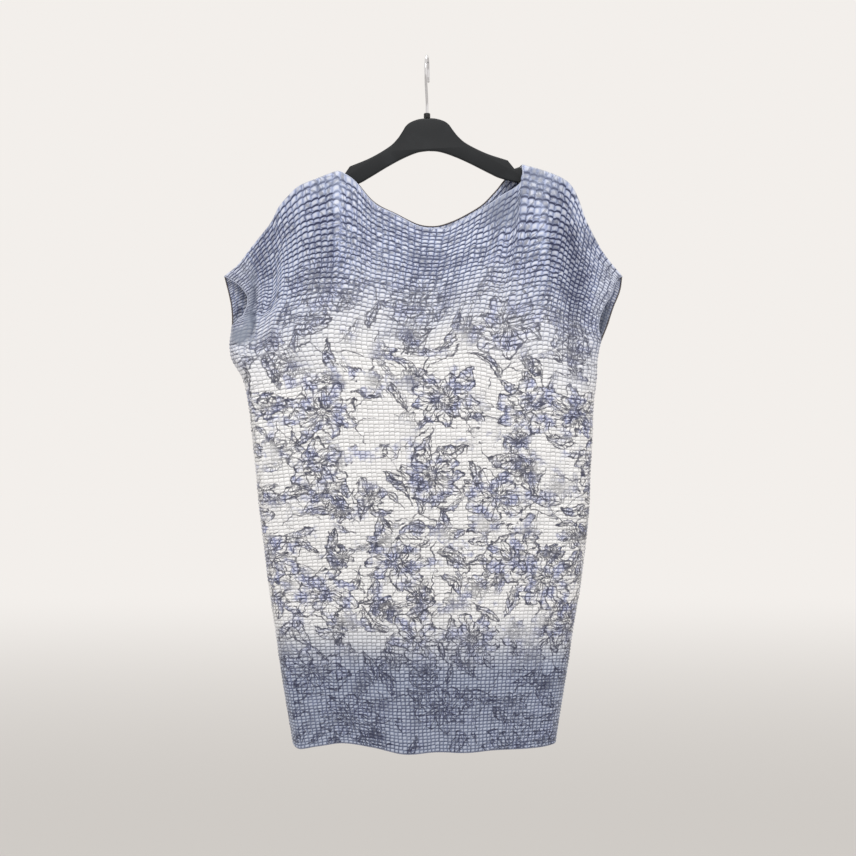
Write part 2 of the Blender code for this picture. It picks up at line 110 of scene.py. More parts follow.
# Neck edges between the two shoulders: x, z
FRONT_NECK = (
    (-122.0, -159.6),
    (-100.8, -174.3),
    (-74.2, -205.1),
    (-42.0, -222.0),
    (-11.2, -237.6),
    (14.0, -240.8),
    (32.2, -238.7),
    (74.2, -214.9),
    (107.8, -192.5),
    (123.0, -183.5),
    (133.0, -172.5),
    (134.4, -149.9),
)
BACK_NECK = (
    (-122.0, -159.6),
    (-100.8, -172.5),
    (-74.2, -202.0),
    (-42.0, -219.0),
    (-11.2, -233.5),
    (14.0, -235.5),
    (36.0, -229.0),
    (56.5, -219.0),
    (78.0, -205.5),
    (98.0, -185.0),
    (112.0, -168.0),
    (134.4, -149.9),
)

# Outline from the front, below the sleeve tips: z, left x, right x
OUTLINE = (
    (-305.9, -283.5, 273.0),
    (-325.5, -278.6, 270.2),
    (-347.9, -274.4, 261.8),
    (-375.9, -273.0, 252.7),
    (-402.5, -276.0, 242.2),
    (-419.3, -274.0, 238.7),
    (-451.5, -256.8, 236.6),
    (-483.7, -249.8, 232.8),
    (-535.5, -243.6, 231.0),
    (-578.9, -239.0, 228.2),
    (-627.9, -234.5, 226.8),
    (-683.9, -227.5, 221.2),
    (-748.3, -219.8, 212.8),
    (-795.9, -212.3, 204.4),
    (-849.1, -205.0, 196.7),
    (-899.5, -197.0, 188.3),
    (-958.3, -186.9, 179.2),
)

# Outline from the side: distance below the shoulder line, depth of the front and of the back
SIDE_PROFILE = (
    (0.0, 11.0, 11.0),
    (25.0, 12.5, 12.0),
    (80.0, 19.0, 16.5),
    (160.0, 27.0, 22.0),
    (260.0, 32.0, 26.0),
    (450.0, 34.0, 27.0),
    (650.0, 31.0, 25.0),
    (820.0, 26.0, 22.0),
)
SHOULDER_FOLD_HEIGHT = 8.0
SHOULDER_FOLD_POWER = 2.5
# The cloth lies flatter past the ends of the hanger
ARM_END = 196.0
SLEEVE_LENGTH = 85.0
SLEEVE_FLATTENING = 0.45

# How far the panels wrap round each side: size across, size in depth
LEFT_SIDE_ROUND = 13.0
RIGHT_SIDE_ROUND = 25.0
SIDE_DEPTH = 26.0
# Least lengths of a quarter round a side and of a vector, so that none is divided by 0
SMALLEST_QUARTER = 1e-6
SMALLEST_VECTOR = 1e-12
ROUND_FULL_AT = 0.25
PLEAT_SKEW = 0.12

# Front edges of the sleeve openings, as lengths round the panel: row share, left, right
SLEEVE_EDGES = (
    (0.0, 0.0, 0.0),
    (0.012, 5.0, 6.0),
    (0.047, 21.0, 11.0),
    (0.08, 31.0, 15.0),
    (0.103, 31.5, 19.5),
    (0.13, 27.5, 24.0),
    (0.147, 17.0, 24.0),
    (0.16, 0.0, 21.5),
    (0.175, 0.0, 14.0),
    (0.19, 0.0, 0.0),
    (1.0, 0.0, 0.0),
)
EDGE_REACH = 0.12
GAPE_POWER = 3

# How far the row ends hang below the middle of a row: row share, left, right
SIDE_SAG = (
    (0.0, 0.0, 0.0),
    (0.19, 0.0, 2.0),
    (0.31, 7.0, 6.0),
    (0.45, 8.0, 3.0),
    (0.65, 5.0, 0.0),
    (0.85, 0.0, -3.0),
    (1.0, -11.0, -11.5),
)
SAG_WIDTH = 0.22

# Gentle wave of the hem: share across, distance below the middle of the hem
HEM_WAVE = (
    (0.0, 0.0),
    (0.06, 5.0),
    (0.12, -0.5),
    (0.2, -8.5),
    (0.3, -5.5),
    (0.41, 3.0),
    (0.52, -0.5),
    (0.62, 1.0),
    (0.72, -1.0),
    (0.88, 1.5),
    (1.0, 0.0),
)

# Large soft folds: panel side, x at the top, x at the bottom, top z, bottom z, half width, height
FOLDS = (
    (-1, -131.0, -140.0, -150.0, -400.0, 20.0, 7.0),
    (-1, -212.0, -232.0, -230.0, -430.0, 22.0, -4.0),
    (-1, 166.0, 160.0, -150.0, -360.0, 17.0, 7.0),
    (-1, 206.0, 196.0, -220.0, -450.0, 16.0, -5.0),
    (-1, 20.0, 10.0, -225.0, -420.0, 60.0, 4.0),
    (1, -128.0, -150.0, -150.0, -430.0, 24.0, 6.0),
    (1, 150.0, 165.0, -140.0, -400.0, 22.0, 7.0),
    (1, 5.0, -15.0, -230.0, -520.0, 34.0, -5.0),
    (1, 205.0, 190.0, -230.0, -460.0, 20.0, -4.0),
)
FOLD_RISE = 0.2
FOLD_FADE = 0.6
FOLD_FULL_DROP = 30.0

# Creases: panel side, start x, start z, end x, end z, half width, height
CREASES = (
    (-1, -240.8, -325.0, -241.5, -388.0, 3.2, -4.2),
    (-1, -278.0, -401.0, -253.0, -403.5, 2.6, -3.4),
    (-1, -256.0, -402.5, -244.5, -386.5, 3.4, -3.0),
    (-1, -253.4, -405.0, -252.0, -449.0, 3.4, -3.2),
    (-1, -262.0, -357.0, -246.0, -380.0, 4.0, 2.0),
    (-1, 204.0, -242.0, 203.0, -452.0, 7.0, -3.6),
    (-1, 174.0, -190.0, 175.5, -306.0, 5.0, -4.6),
    (-1, -134.0, -222.0, -133.0, -312.0, 4.6, -2.8),
    (-1, -131.0, -162.0, -124.0, -382.0, 7.0, 2.0),
    (-1, 164.0, -178.0, 163.0, -330.0, 7.0, 2.6),
    (1, 244.0, -330.0, 240.0, -371.0, 3.4, -2.8),
    (1, 257.0, -398.0, 238.0, -402.0, 2.8, -2.0),
    (1, 240.0, -402.0, 237.0, -446.0, 3.6, -2.6),
    (1, -205.0, -246.0, -208.0, -440.0, 7.5, -2.6),
    (1, -170.0, -190.0, -176.0, -318.0, 4.4, -2.2),
    (1, 128.0, -166.0, 122.0, -360.0, 7.0, 2.0),
    (1, -158.0, -186.0, -157.0, -330.0, 8.0, 1.6),
)
# Painted shade of a crease for each millimetre of its depth, and the share of its width that is
# shaded
CREASE_DARKNESS = 0.19
CREASE_DARK_WIDTH = 0.6
EVEN_CREASE_SHADE = 0.75

# Places where the pleats lie pressed flat and are painted with shade: panel side, x, z, half
# width, half height, share lost
PRESSED = (
    (-1, -243.0, -345.0, 5.0, 52.0, 0.7),
    (-1, -260.0, -390.0, 15.0, 12.0, 0.85),
    (-1, -248.0, -368.0, 8.0, 16.0, 0.75),
    (-1, 106.0, -208.0, 28.0, 32.0, 0.5),
    (-1, 168.0, -172.0, 50.0, 20.0, 0.3),
    (-1, -152.0, -176.0, 48.0, 18.0, 0.22),
    (1, 250.0, -362.0, 10.0, 32.0, 0.6),
)
# Share of such a place's size that is fully pressed
PRESSED_MIDDLE = 0.5

# Places in the shade of folds, or in the light where the share is below 0:
# panel side, x, z, half width, half height, share
SHADED = (
    (-1, -190.0, -240.0, 75.0, 110.0, 0.2),
    (-1, -228.0, -290.0, 26.0, 90.0, 0.36),
    (-1, -145.0, -240.0, 20.0, 120.0, 0.2),
    (-1, -264.0, -345.0, 30.0, 70.0, 0.3),
    (-1, -243.0, -338.0, 9.0, 52.0, 0.42),
    (-1, 187.0, -240.0, 22.0, 110.0, 0.5),
    (-1, 210.0, -315.0, 26.0, 100.0, 0.64),
    (-1, 90.0, -225.0, 50.0, 45.0, 0.2),
    (-1, 118.0, -200.0, 24.0, 38.0, 0.34),
    (-1, 168.0, -172.0, 62.0, 30.0, -0.16),
    (-1, 160.0, -240.0, 13.0, 75.0, -0.34),
    (-1, -152.0, -178.0, 58.0, 28.0, -0.2),
    (-1, -123.0, -225.0, 9.0, 80.0, -0.55),
    (1, 190.0, -240.0, 75.0, 110.0, 0.2),
    (1, 228.0, -290.0, 26.0, 90.0, 0.3),
    (1, -188.0, -240.0, 24.0, 110.0, 0.3),
    (1, -208.0, -320.0, 26.0, 100.0, 0.36),
)

# Bands where the rows run in zigzags: panel side, column, half width, first row, last row, rows
ZIGZAGS = (
    (-1, 7.0, 3.0, 4.0, 34.0, 0.5),
    (-1, 65.5, 2.6, 4.0, 38.0, 0.55),
    (-1, 45.0, 4.5, 1.0, 16.0, 0.6),
    (1, 6.0, 3.0, 4.0, 32.0, 0.55),
    (1, 65.0, 3.0, 4.0, 36.0, 0.6),
)
# Rows over which these bands begin and end
ZIGZAG_FADES = (4.0, 6.0)

# Bands where the rows sag, or rise where the last number is below 0, with the same columns
ROW_BENDS = (
    (-1, 52.0, 4.5, 2.0, 62.0, 2.3),
    (-1, 20.0, 3.0, 2.0, 40.0, 0.6),
    (-1, 9.4, 1.3, 5.0, 44.0, -1.0),
    (-1, 6.8, 1.3, 5.0, 44.0, 1.1),
    (1, 63.0, 1.4, 5.0, 40.0, -0.8),
    (1, 65.6, 1.4, 5.0, 40.0, 0.9),
    (1, 20.0, 4.0, 2.0, 55.0, 1.6),
    (1, 52.0, 3.0, 2.0, 40.0, 0.6),
)
BEND_FADES = (10.0, 30.0)

# Random unevenness: seed, amount, and width and height of its bumps in millimetres
CREASE_WAVER = (11, 0.35, 14.0, 14.0)
SHADE_WAVER = (12, 0.25, 9.0, 9.0)
BROAD_WAVER = (29, 0.9, 42.0, 60.0)
FINE_WAVER = (30, 0.5, 17.0, 21.0)
THREAD_WAVER = (31, 0.12, 9.0, 9.0)
# The same with its bumps in pleats
COLUMN_WAVER = (20, 0.1, 4.0, 5.0)
ROW_WAVER = (25, 0.13, 5.0, 3.0)
PLEAT_WAVER = (40, 0.22, 1.0, 1.0)
ZIGZAG_WAVER = (41, 1.0, 1.25, 9.0)
# How far the pleats' own unevenness moves on from one pleat to the next
PLEAT_PACE = 0.7
WAVER_SIZE = 64
# It sets in over so many pleats beside the edges, and millimetres below the shoulder line
STEADY_PLEATS = 3
STEADY_DROP = 12

# The bake's map: left border and width of the outer and the inner side, top and height of both,
# and the width of the strips of rim beside the outer side
OUTER_MAP = (0.01, 0.76)
INNER_MAP = (0.79, 0.2)
MAP_DOWN = (0.99, 0.98)
RIM_STRIP = 0.006

# Hanger
HANGER_TILT = math.radians(2.2)
HANGER_THICKNESS = 11.0
HANGER_BEVEL = 2.6
HANGER_BEVEL_SEGMENTS = 5
HANGER_SHARP_ANGLE = math.radians(40)
# Share of a face's normal along y from which it belongs to the flat front or back
HANGER_FLAT = 0.9
DOME_TOP = -85.0
# Right half of the hanger's outline, in strokes that meet at corners: x, z
DOME_STROKE = (
    (0.0, DOME_TOP),
    (12.0, -86.2),
    (23.0, -89.8),
    (30.0, -95.0),
    (35.5, -103.0),
    (43.0, -113.0),
    (55.0, -123.5),
    (81.0, -137.5),
    (110.6, -148.5),
)
NOTCH_STROKE = (
    (110.6, -148.5),
    (119.5, -160.5),
    (126.0, -158.5),
)
ARM_TOP_STROKE = (
    (126.0, -158.5),
    (153.0, -165.5),
    (174.0, -173.0),
    (184.0, -182.0),
    (189.0, -191.0),
)
ARM_END_STROKE = (
    (189.0, -191.0),
    (187.5, -198.0),
    (180.0, -200.5),
)
LOWER_STROKE = (
    (180.0, -200.5),
    (155.0, -191.0),
    (125.0, -181.0),
    (99.0, -173.0),
    (84.0, -165.5),
    (55.0, -149.5),
    (33.0, -139.0),
    (15.0, -132.7),
    (0.0, -131.0),
)

# Collar round the shank
COLLAR_RADIUS = 4.6
COLLAR_BORE = 2.1
COLLAR_TOP = -77.7
COLLAR_BOTTOM = -84.9
COLLAR_SIDES = 48
COLLAR_CHAMFER = 0.5
# Rounding of the collar's top: distance in, distance down
COLLAR_ROUNDING = (
    (0.0, 2.0),
    (0.25, 1.1),
    (0.8, 0.4),
    (1.6, 0.0),
)

# Hook: a wire bent in the plane that runs from front to back
WIRE_RADIUS = 2.0
WIRE_SIDES = 20
WIRE_SPACING = WIRE_RADIUS / 3
HOOK_INNER_RADIUS = 18.0
HOOK_TURN = math.radians(5.0)
HOOK_ARC_POINTS = 40
HOOK_END = -96.0
# Middle of the wire below the arc: distance behind the shank, z
SHANK_ROUTE = (
    (-20.0, -18.0),
    (-19.3, -27.0),
    (-15.5, -38.0),
    (-8.5, -49.0),
    (-2.5, -59.0),
    (-0.2, -68.0),
    (0.0, -78.0),
    (0.0, HOOK_END),
)
TIP_ROUTE = (
    (22.3, -33.0),
    (21.6, -29.0),
    (20.6, -25.0),
)
TIP_ROUNDING = 2.0
TIP_SMALLEST = 0.02

# Sewn edges
EDGE_RADIUS = 1.0
EDGE_SIDES = 8
STITCH_LENGTH = 2.4
STITCH_RELIEF = 0.22
# Stretches of the cord's mesh in each stitch
STITCH_STEPS = 4
# A path's direction that is too near to a tube's guide, as the cosine between them
TOO_NEAR = 0.95

# Lines between pleats, in pleats: how far a line steps aside from the next pleat's, and how the
# line of a row slants and bends within a pleat
LINE_STEP = 0.24
ROW_SLANT = 0.16
ROW_ARCH = 0.5
# The first row is stretched over the seam: where its line is left out, and its distance there
SEAM_ROWS = (0.3, 0.7)
SEAM_LINE = 0.3
# Where a pleat's crest, for the painted highlight in the colours, and its top, for the relief,
# rise beside its lines
ROW_CREST = (0.1, 0.42)
COLUMN_CREST = (0.06, 0.36)
ROW_TOP = (0.0, 0.34)
COLUMN_TOP = (0.0, 0.3)
# Share of the relief that is left on a line between columns
COLUMN_TOP_LEAST = 0.4

# Ground: rows over which the upper and the lower colour fade, and their share lost on the crests
# as a painted highlight
UPPER_ROWS = (7.0, 37.0)
LOWER_ROWS = (100.0, 122.0)
UPPER_LOST = 0.54
LOWER_LOST = 0.22
# Wavering of the borders between colours: scale and detail of its noise, and its reach
DRIFT = (0.014, 3.0)
DRIFT_ROWS = 20.0
# The upper colour reaches lower towards the sides: columns from the middle, rows
SIDE_COLUMNS = (12.0, 30.0)
SIDE_ROWS = 9.0
# Sleeve opening edges painted pale as painted light on the turned edge: columns, rows, and how
# pale the front's are
LEFT_TURNED = (2.8, 3.8)
RIGHT_TURNED = (68.5, 69.5)
TURNED_ROWS = (16.0, 25.0)
FRONT_TURNED = 0.7

# Dark lines between pleats, partly ink and partly painted shade in their valleys: where a line's
# darkness fades beside it, and how much wider it is over colour
ROW_LINE = (0.05, 0.18)
ROW_WIDER = 0.06
COLUMN_LINE = (0.02, 0.12)
COLUMN_WIDER = 0.1
# Darkness of a line: share of noise along it, of patches, of chance, and of every line
ROW_DARKNESS = (0.3, 0.15, 0.25, 0.52)
COLUMN_DARKNESS = (0.35, 0.15, 0.15, 0.12)
# Darkness added to a line between columns over colour, and once more over the lower colour
COLUMN_DARKER = 0.16
# Darkness over white, the shares lost below and on pressed pleats, and what chance adds to a pleat
WHITE_DARKNESS = 0.56
LOWER_LINES_LOST = 0.22
PRESSED_LINES_LOST = 0.75
SPECKS = 0.12
# Beside the right sleeve the columns are dark and the rows pale
SLEEVE_COLUMNS = (59.0, 64.0)
SLEEVE_ROWS = (26.0, 44.0)
SLEEVE_ROWS_LOST = 0.4
SLEEVE_DARKER = 0.5
# On the shoulders the column lines are pale, away from the middle and up to the right sleeve
MIDDLE_COLUMN = 37.0
PALE_COLUMNS = (5.0, 12.0)
PALE_END = (57.0, 63.0)
PALE_LOST = 0.5
# Darkness of a shaded place: share between lines, share added on them
SHADE_DEPTH = (0.64, 0.6)
# Share of the darker blue painted as shade on pressed pleats
PRESSED_SHADE_SHARE = 0.95
# Crepe: scale and detail of its noise, and its share of the relief
CREPE = (1.6, 2.0)
CREPE_RELIEF = 0.12

NOISE_ROUGHNESS = 0.55
# Middle of a noise's colours
MIDDLE_GREY = (0.5, 0.5, 0.5)
# Soft patches: scale and detail of their noise, and the noise at which they start and are full
CROWDED = (0.011, 1.0, 0.4, 0.56)
SCRIBBLED = (0.02, 2.0, 0.56, 0.63)
WASHED = (0.05, 3.0, 0.42, 0.62)
PEN_PRESSURE = (0.09, 2.0, 0.3, 0.6)
LINE_PATCHES = (0.05, 3.0, 0.3, 0.7)
ALONG_LINE = (1.0, 1.0, 0.3, 0.68)
STEMS_SHOWN = (0.03, 1.0, 0.4, 0.48)
SEEDS = (0.55, 0.0, 0.5, 0.6)
# How far ALONG_LINE's noise moves on from line to line, and along a line for each pleat
LINE_PACE = (3.7, 0.09)

# Print, in millimetres on the flat cloth: how far it steps aside from pleat to pleat, where each
# panel's part of it begins, and how far off its second layer lies
PRINT_JOLT = (2.6, 2.0, 0.0)
FRONT_PRINT = (60.0, 35.0, 0.0)
BACK_PRINT = (1290.0, 810.0, 0.0)
SECOND_PRINT = (431.0, 277.0, 0.0)
# Motifs: spacing, radius, line width
LARGE_BLOSSOMS = (118.0, 54.0, 1.6)
SMALL_BLOSSOMS = (64.0, 26.0, 1.35)
LEAVES = (52.0, 30.0, 1.5)
SPRAYS = (36.0, 20.0, 1.2)
# Stems and hatching: spacing, line width
STEMS = (74.0, 1.3)
HATCHING = (12.0, 0.75)
HATCHING_INK = 0.85
# Bends of a hand-drawn line: scale of the noise, reach, detail
BLOSSOM_BENDS = ((0.035, 24.0, 2.0), (0.15, 7.0, 3.0))
LEAF_BENDS = ((0.05, 14.0, 2.0), (0.2, 4.5, 3.0))
STEM_BENDS = ((0.018, 60.0, 2.0), (0.09, 9.0, 2.0))
# Share of a line's width that is fully dark, and the soft edge of a filled place
LINE_CORE = 0.4
FILL_EDGE = (-0.3, 0.3)

# Blossoms: their scatter, and the range of their sizes, flattening and petals
BLOSSOM_SCATTER = 0.82
BLOSSOM_SIZES = (0.72, 1.07)
BLOSSOM_FLATTENING = (1.0, 1.5)
PETALS = (6.0, 10.0)
# Shares of the radius: seeded middle, rings of petals
SEEDED_MIDDLE = 0.15
PETAL_RINGS = (0.42, 0.72, 1.0)
# A petal's tip: how pointed it is, and the range of its reach
PETAL_POINT = 0.75
PETAL_REACH = (0.5, 1.0)
# How often the side veins repeat in a petal
SIDE_VEINS = 3.0
# Thinner lines of a blossom, as shares of the line's width
SECOND_OUTLINE = 0.7
VEIN_WIDTH = 0.7
SIDE_VEIN_WIDTH = 0.55
# Noise that moves a petal's second outline and breaks its side veins: scale and detail, its middle
# and reach for the outline, and where it lets the veins show
BROKEN = (0.12, 1.0)
BROKEN_MIDDLE = 0.35
BROKEN_REACH = 9.0
HATCHED = (0.45, 0.55)

# Leaves: their scatter, range of lengths, bend and half width as shares of the length
LEAF_SCATTER = 0.9
LEAF_LENGTHS = (0.6, 1.1)
LEAF_BEND = 0.9
LEAF_WIDTH = 0.3
# Where the outline ends, as a share of the length
LEAF_END = (1.0, 1.03)
# The stalk's middle, and the distance from it at which the stalk ends
STALK_MIDDLE = 0.25
STALK_END = (1.25, 1.3)
# Side veins: number a millimetre, slant, and width as a share of the line's
LEAF_VEINS = 0.17
LEAF_VEIN_SLANT = 0.8
LEAF_VEIN_WIDTH = 0.6

# Ink: rows over which it fades at the top, its least and most share there and by pen pressure
INK_ROWS = (2.0, 30.0)
INK_AT_TOP = (0.7, 0.95)
INK_BY_PRESSURE = (0.7, 1.0)
# Share of the ink lost over the upper colour
INK_LOST = 0.2
# Washes: their share, and the shares lost on crests, as a painted highlight, and over colour
WASH = 0.85
WASH_LOST_ON_CRESTS = 0.55
WASH_LOST_ON_COLOUR = 0.7
LEAF_WASH = 0.8
SCRIBBLE_WASH = 0.8
# How much of a wash counts as colour for the dark lines
WASH_COLOUR = 0.6

WHITE = (0.96, 0.965, 0.98, 1.0)
LILAC = (0.44, 0.51, 0.74, 1.0)
LOWER_BLUE = (0.33, 0.385, 0.53, 1.0)
SHADE_BLUE = (0.36, 0.41, 0.72, 1.0)
# Darker blue that paints shade where the pleats lie pressed in folds
PRESSED_SHADE_BLUE = (0.17, 0.205, 0.275, 1.0)
# Pale colour that paints light on the turned edges of the sleeve openings
LIT_TURNED_CLOTH = (0.72, 0.77, 0.90, 1.0)
INK = (0.016, 0.019, 0.055, 1.0)
# Colours of the painted shade in creases and between pleats, mixed with ink: over colour, and over
# white
CREASE_INK_AND_SHADE = (0.015, 0.022, 0.076, 1.0)
CREASE_SHADE_GREY = (0.09, 0.09, 0.10, 1.0)
THREAD = (0.62, 0.68, 0.86, 1.0)
BROWN_THREAD = (0.12, 0.10, 0.10, 1.0)
HEM_THREAD = (0.26, 0.29, 0.42, 1.0)
HANGER_BLACK = (0.009, 0.0108, 0.013, 1.0)
COLLAR_BLACK = (0.012, 0.012, 0.013, 1.0)
DARK_CHROME = (0.62, 0.62, 0.64, 1.0)
BRIGHT_CHROME = (0.82, 0.82, 0.84, 1.0)
# Floor colour near the blouse, darker as painted shade
NEAR_FLOOR_SHADE = (0.62, 0.61, 0.595, 1.0)
FAR_FLOOR = (1.0, 1.0, 1.0, 1.0)
ROOM = (0.895, 0.863, 0.832, 1.0)

# Thread, plastic and chrome: scale and detail of their noise, for places in metres
FIBRES = (900.0, 3.0)
THREAD_PATCHES = (60.0, 2.0)
GRAIN = (1400.0, 2.0)
RUBBED = (28.0, 4.0)
STREAK_SCALE = (900.0, 900.0, 40.0)
# Thread's darkest share of its colour, and the shares of fibres and patches in its shading
DARKEST_THREAD = 0.55
THREAD_SHARES = (0.6, 0.4)
# Colour of rubbed plastic: its own colour times the first number, plus the second
RUBBED_COLOUR = (1.7, 0.004)
# Noise at which the plastic looks rubbed, and how much that lightens and roughens it
RUBBED_FROM = (0.45, 0.75)
RUBBED_SHARE = 0.6
RUBBED_ROUGHNESS = 0.16
CHROME_ROUGHNESS = (0.08, 0.2)

# Photograph's frame, in pixels and metres
PHOTO_WIDTH = 856
METRES_PER_PIXEL = 0.0014
CAMERA_DISTANCE = 4.5
CAMERA_X = 0.0014
CAMERA_Z = -0.5187
SENSOR_WIDTH = 36.0
FLOOR_Z = -1.45
FLOOR_HALF = 40.0
# Distance over which the painted shade on the floor, darkest near the blouse, fades to pale
FLOOR_FADE = (0.8, 14.0)
# Soft lamps: name, place, target, size, watts
LAMPS = (
    ("key light", (-0.1, -1.6, 1.0), (0.0, 0.0, -0.5), 0.8, 15.0),
    ("fill light", (1.9, -1.8, -0.1), (0.0, 0.0, -0.5), 1.8, 3.0),
    ("top light", (0.2, 0.6, 1.5), (0.0, 0.0, -0.4), 1.2, 10.0),
)


def cubic(t, start, end, start_slope, end_slope):
    """Place at share t of a smooth stretch, from its ends and its slopes there."""
    return (
        start * (2 * t**3 - 3 * t**2 + 1)
        + start_slope * (t**3 - 2 * t**2 + t)
        + end * (3 * t**2 - 2 * t**3)
        + end_slope * (t**3 - t**2)
    )


def smooth_curve(points, samples):
    """Points of a smooth curve through the given ones, with samples in each stretch."""
    places = np.array(points, dtype=float)
    slopes = np.gradient(places, axis=0)
    stretches = zip(places, places[1:], slopes, slopes[1:])
    curve = [cubic(step / samples, *stretch) for stretch in stretches for step in range(samples)]
    return np.array(curve + [places[-1]])


def evenly_spaced(curve, shares):
    """Points of a curve at the given shares of its length."""
    steps = np.linalg.norm(np.diff(curve, axis=0), axis=1)
    length = np.concatenate([[0.0], np.cumsum(steps)])
    return [np.interp(shares * length[-1], length, curve[:, axis]) for axis in range(2)]


def smooth_table(rows, column, at):
    """Value of a table's column, smooth between its rows, which rise in their first column."""
    table = np.array(rows, dtype=float)
    xs = table[:, 0]
    ys = table[:, column]
    slopes = np.gradient(ys, xs)
    at = np.clip(at, xs[0], xs[-1])
    k = np.clip(np.searchsorted(xs, at, side="right") - 1, 0, len(xs) - 2)
    width = xs[k + 1] - xs[k]
    return cubic(
        (at - xs[k]) / width, ys[k], ys[k + 1], slopes[k] * width, slopes[k + 1] * width
    )


def straight_table(rows, column, at):
    """Value of a table's column, straight between its rows."""
    table = np.array(rows, dtype=float)
    return np.interp(at, table[:, 0], table[:, column])


def ramp(share):
    """Smooth rise from 0 to 1 while the share goes from 0 to 1."""
    t = np.clip(share, 0.0, 1.0)
    return t * t * (3 - 2 * t)


LEFT_CURVE = smooth_curve(LEFT_SHOULDER, SMOOTH_CURVE_SAMPLES)
RIGHT_CURVE = smooth_curve(RIGHT_SHOULDER, SMOOTH_CURVE_SAMPLES)
NECK_CURVES = {
    -1: smooth_curve(FRONT_NECK, SMOOTH_CURVE_SAMPLES),
    1: smooth_curve(BACK_NECK, SMOOTH_CURVE_SAMPLES),
}
SHOULDER_LINE = np.concatenate([LEFT_CURVE, RIGHT_CURVE])


def top_edge(side, u):
    """x and z of a panel's top edge, for shares u across its columns."""
    column = u * COLUMNS
    first = NECK_FIRST_COLUMN
    last = NECK_LAST_COLUMN
    left = evenly_spaced(LEFT_CURVE, np.clip(column / first, 0, 1))
    neck = evenly_spaced(NECK_CURVES[side], np.clip((column - first) / (last - first), 0, 1))
    right = evenly_spaced(RIGHT_CURVE, np.clip((column - last) / (COLUMNS - last), 0, 1))
    return [
        np.where(column < first, left[axis], np.where(column > last, right[axis], neck[axis]))
        for axis in range(2)
    ]


def row_height(side, u, v):
    """z of row v at column share u."""
    middle = NECK_HEIGHT - BODY_LENGTH * v * (1 + ROW_STRETCH * (1 - v))
    rise = (top_edge(side, u)[1] - NECK_HEIGHT) * np.exp(-v / RELAX)
    left_end = np.exp(-((u / SAG_WIDTH) ** 2))
    right_end = np.exp(-(((1 - u) / SAG_WIDTH) ** 2))
    sag = smooth_table(SIDE_SAG, 1, v) * left_end + smooth_table(SIDE_SAG, 2, v) * right_end
    wave = smooth_table(HEM_WAVE, 1, u) * v**HEM_WAVE_POWER
    return middle + rise - sag - wave


def rows_for(side, table):
    """Rows of a table that are for one panel, without their first column."""
    return [row[1:] for row in table if row[0] == side]


def distance_to_stretch(x, z, start, end):
    """Distance from a straight stretch between two points, seen from the front."""
    start = np.array(start)
    along = np.array(end) - start
    share = ((x - start[0]) * along[0] + (z - start[1]) * along[1]) / (along @ along)
    share = np.clip(share, 0, 1)
    return np.hypot(x - start[0] - share * along[0], z - start[1] - share * along[1])


def distance_below_shoulder(x, z):
    """Distance from the shoulder line, seen from the front."""
    nearest = np.full(x.shape, np.inf)
    for start, end in zip(SHOULDER_LINE, SHOULDER_LINE[1:]):
        nearest = np.minimum(nearest, distance_to_stretch(x, z, start, end))
    return nearest


def fold_relief(side, x, z):
    """How far the large folds stand out of the front or back."""
    relief = np.zeros_like(x)
    for x_top, x_bottom, z_top, z_bottom, half_width, height in rows_for(side, FOLDS):
        down = (z_top - z) / (z_top - z_bottom)
        middle = x_top + (x_bottom - x_top) * down
        shape = np.exp(-(((x - middle) / half_width) ** 2))
        relief += height * shape * ramp(down / FOLD_RISE) * ramp((1 - down) / FOLD_FADE)
    return relief


def round_side(arc, across, quarter):
    """Distance inward and share of the full depth, for a length round the side."""
    angle = np.clip(arc / np.maximum(quarter, SMALLEST_QUARTER), 0.0, 1.0) * math.pi / 2
    inward = across * (1 - np.cos(angle)) + np.maximum(arc - quarter, 0.0)
    return inward, np.sin(angle)


def gape(share, down):
    """Share of the full depth near a side, where the sleeve opening stands open above the seam."""
    opening = 1 - np.clip(down, 0.0, 1.0) ** GAPE_POWER
    return opening + (1 - opening) * share


def quarter_length(across, depth):
    """Length round a quarter of an oval, nearly."""
    return np.hypot(across, depth) * math.pi / math.sqrt(8)


def lay_across(side, u, v, full):
    """x of a panel's points, and the shares of the full depth that its two sides leave."""
    zeros = np.zeros_like(u)
    left_x = smooth_table(OUTLINE[::-1], 1, row_height(side, zeros, v))
    right_x = smooth_table(OUTLINE[::-1], 2, row_height(side, zeros + 1, v))
    left_across = LEFT_SIDE_ROUND * full
    right_across = RIGHT_SIDE_ROUND * full
    left_quarter = quarter_length(left_across, SIDE_DEPTH * full)
    right_quarter = quarter_length(right_across, SIDE_DEPTH * full)

    front = 1.0 if side < 0 else 0.0
    start = straight_table(SLEEVE_EDGES, 1, v) * front
    end = straight_table(SLEEVE_EDGES, 2, v) * front
    length = left_quarter + right_quarter + right_x - left_x - left_across - right_across
    arc = length * (u + PLEAT_SKEW * v * u * (1 - u))
    arc += start * np.exp(-u / EDGE_REACH) * (1 - u)
    arc -= end * np.exp((u - 1) / EDGE_REACH) * u

    from_left, left_share = round_side(arc, left_across, left_quarter)
    from_right, right_share = round_side(length - arc, right_across, right_quarter)
    x = np.where(arc < length / 2, left_x + from_left, right_x - from_right)
    edge_x = LEFT_SHOULDER[0][0] + u * (RIGHT_SHOULDER[-1][0] - LEFT_SHOULDER[0][0])
    x = x + (top_edge(side, u)[0] - edge_x) * np.exp(-v / RELAX)
    return x, gape(left_share, v / LEFT_UNDERARM), gape(right_share, v / RIGHT_UNDERARM)


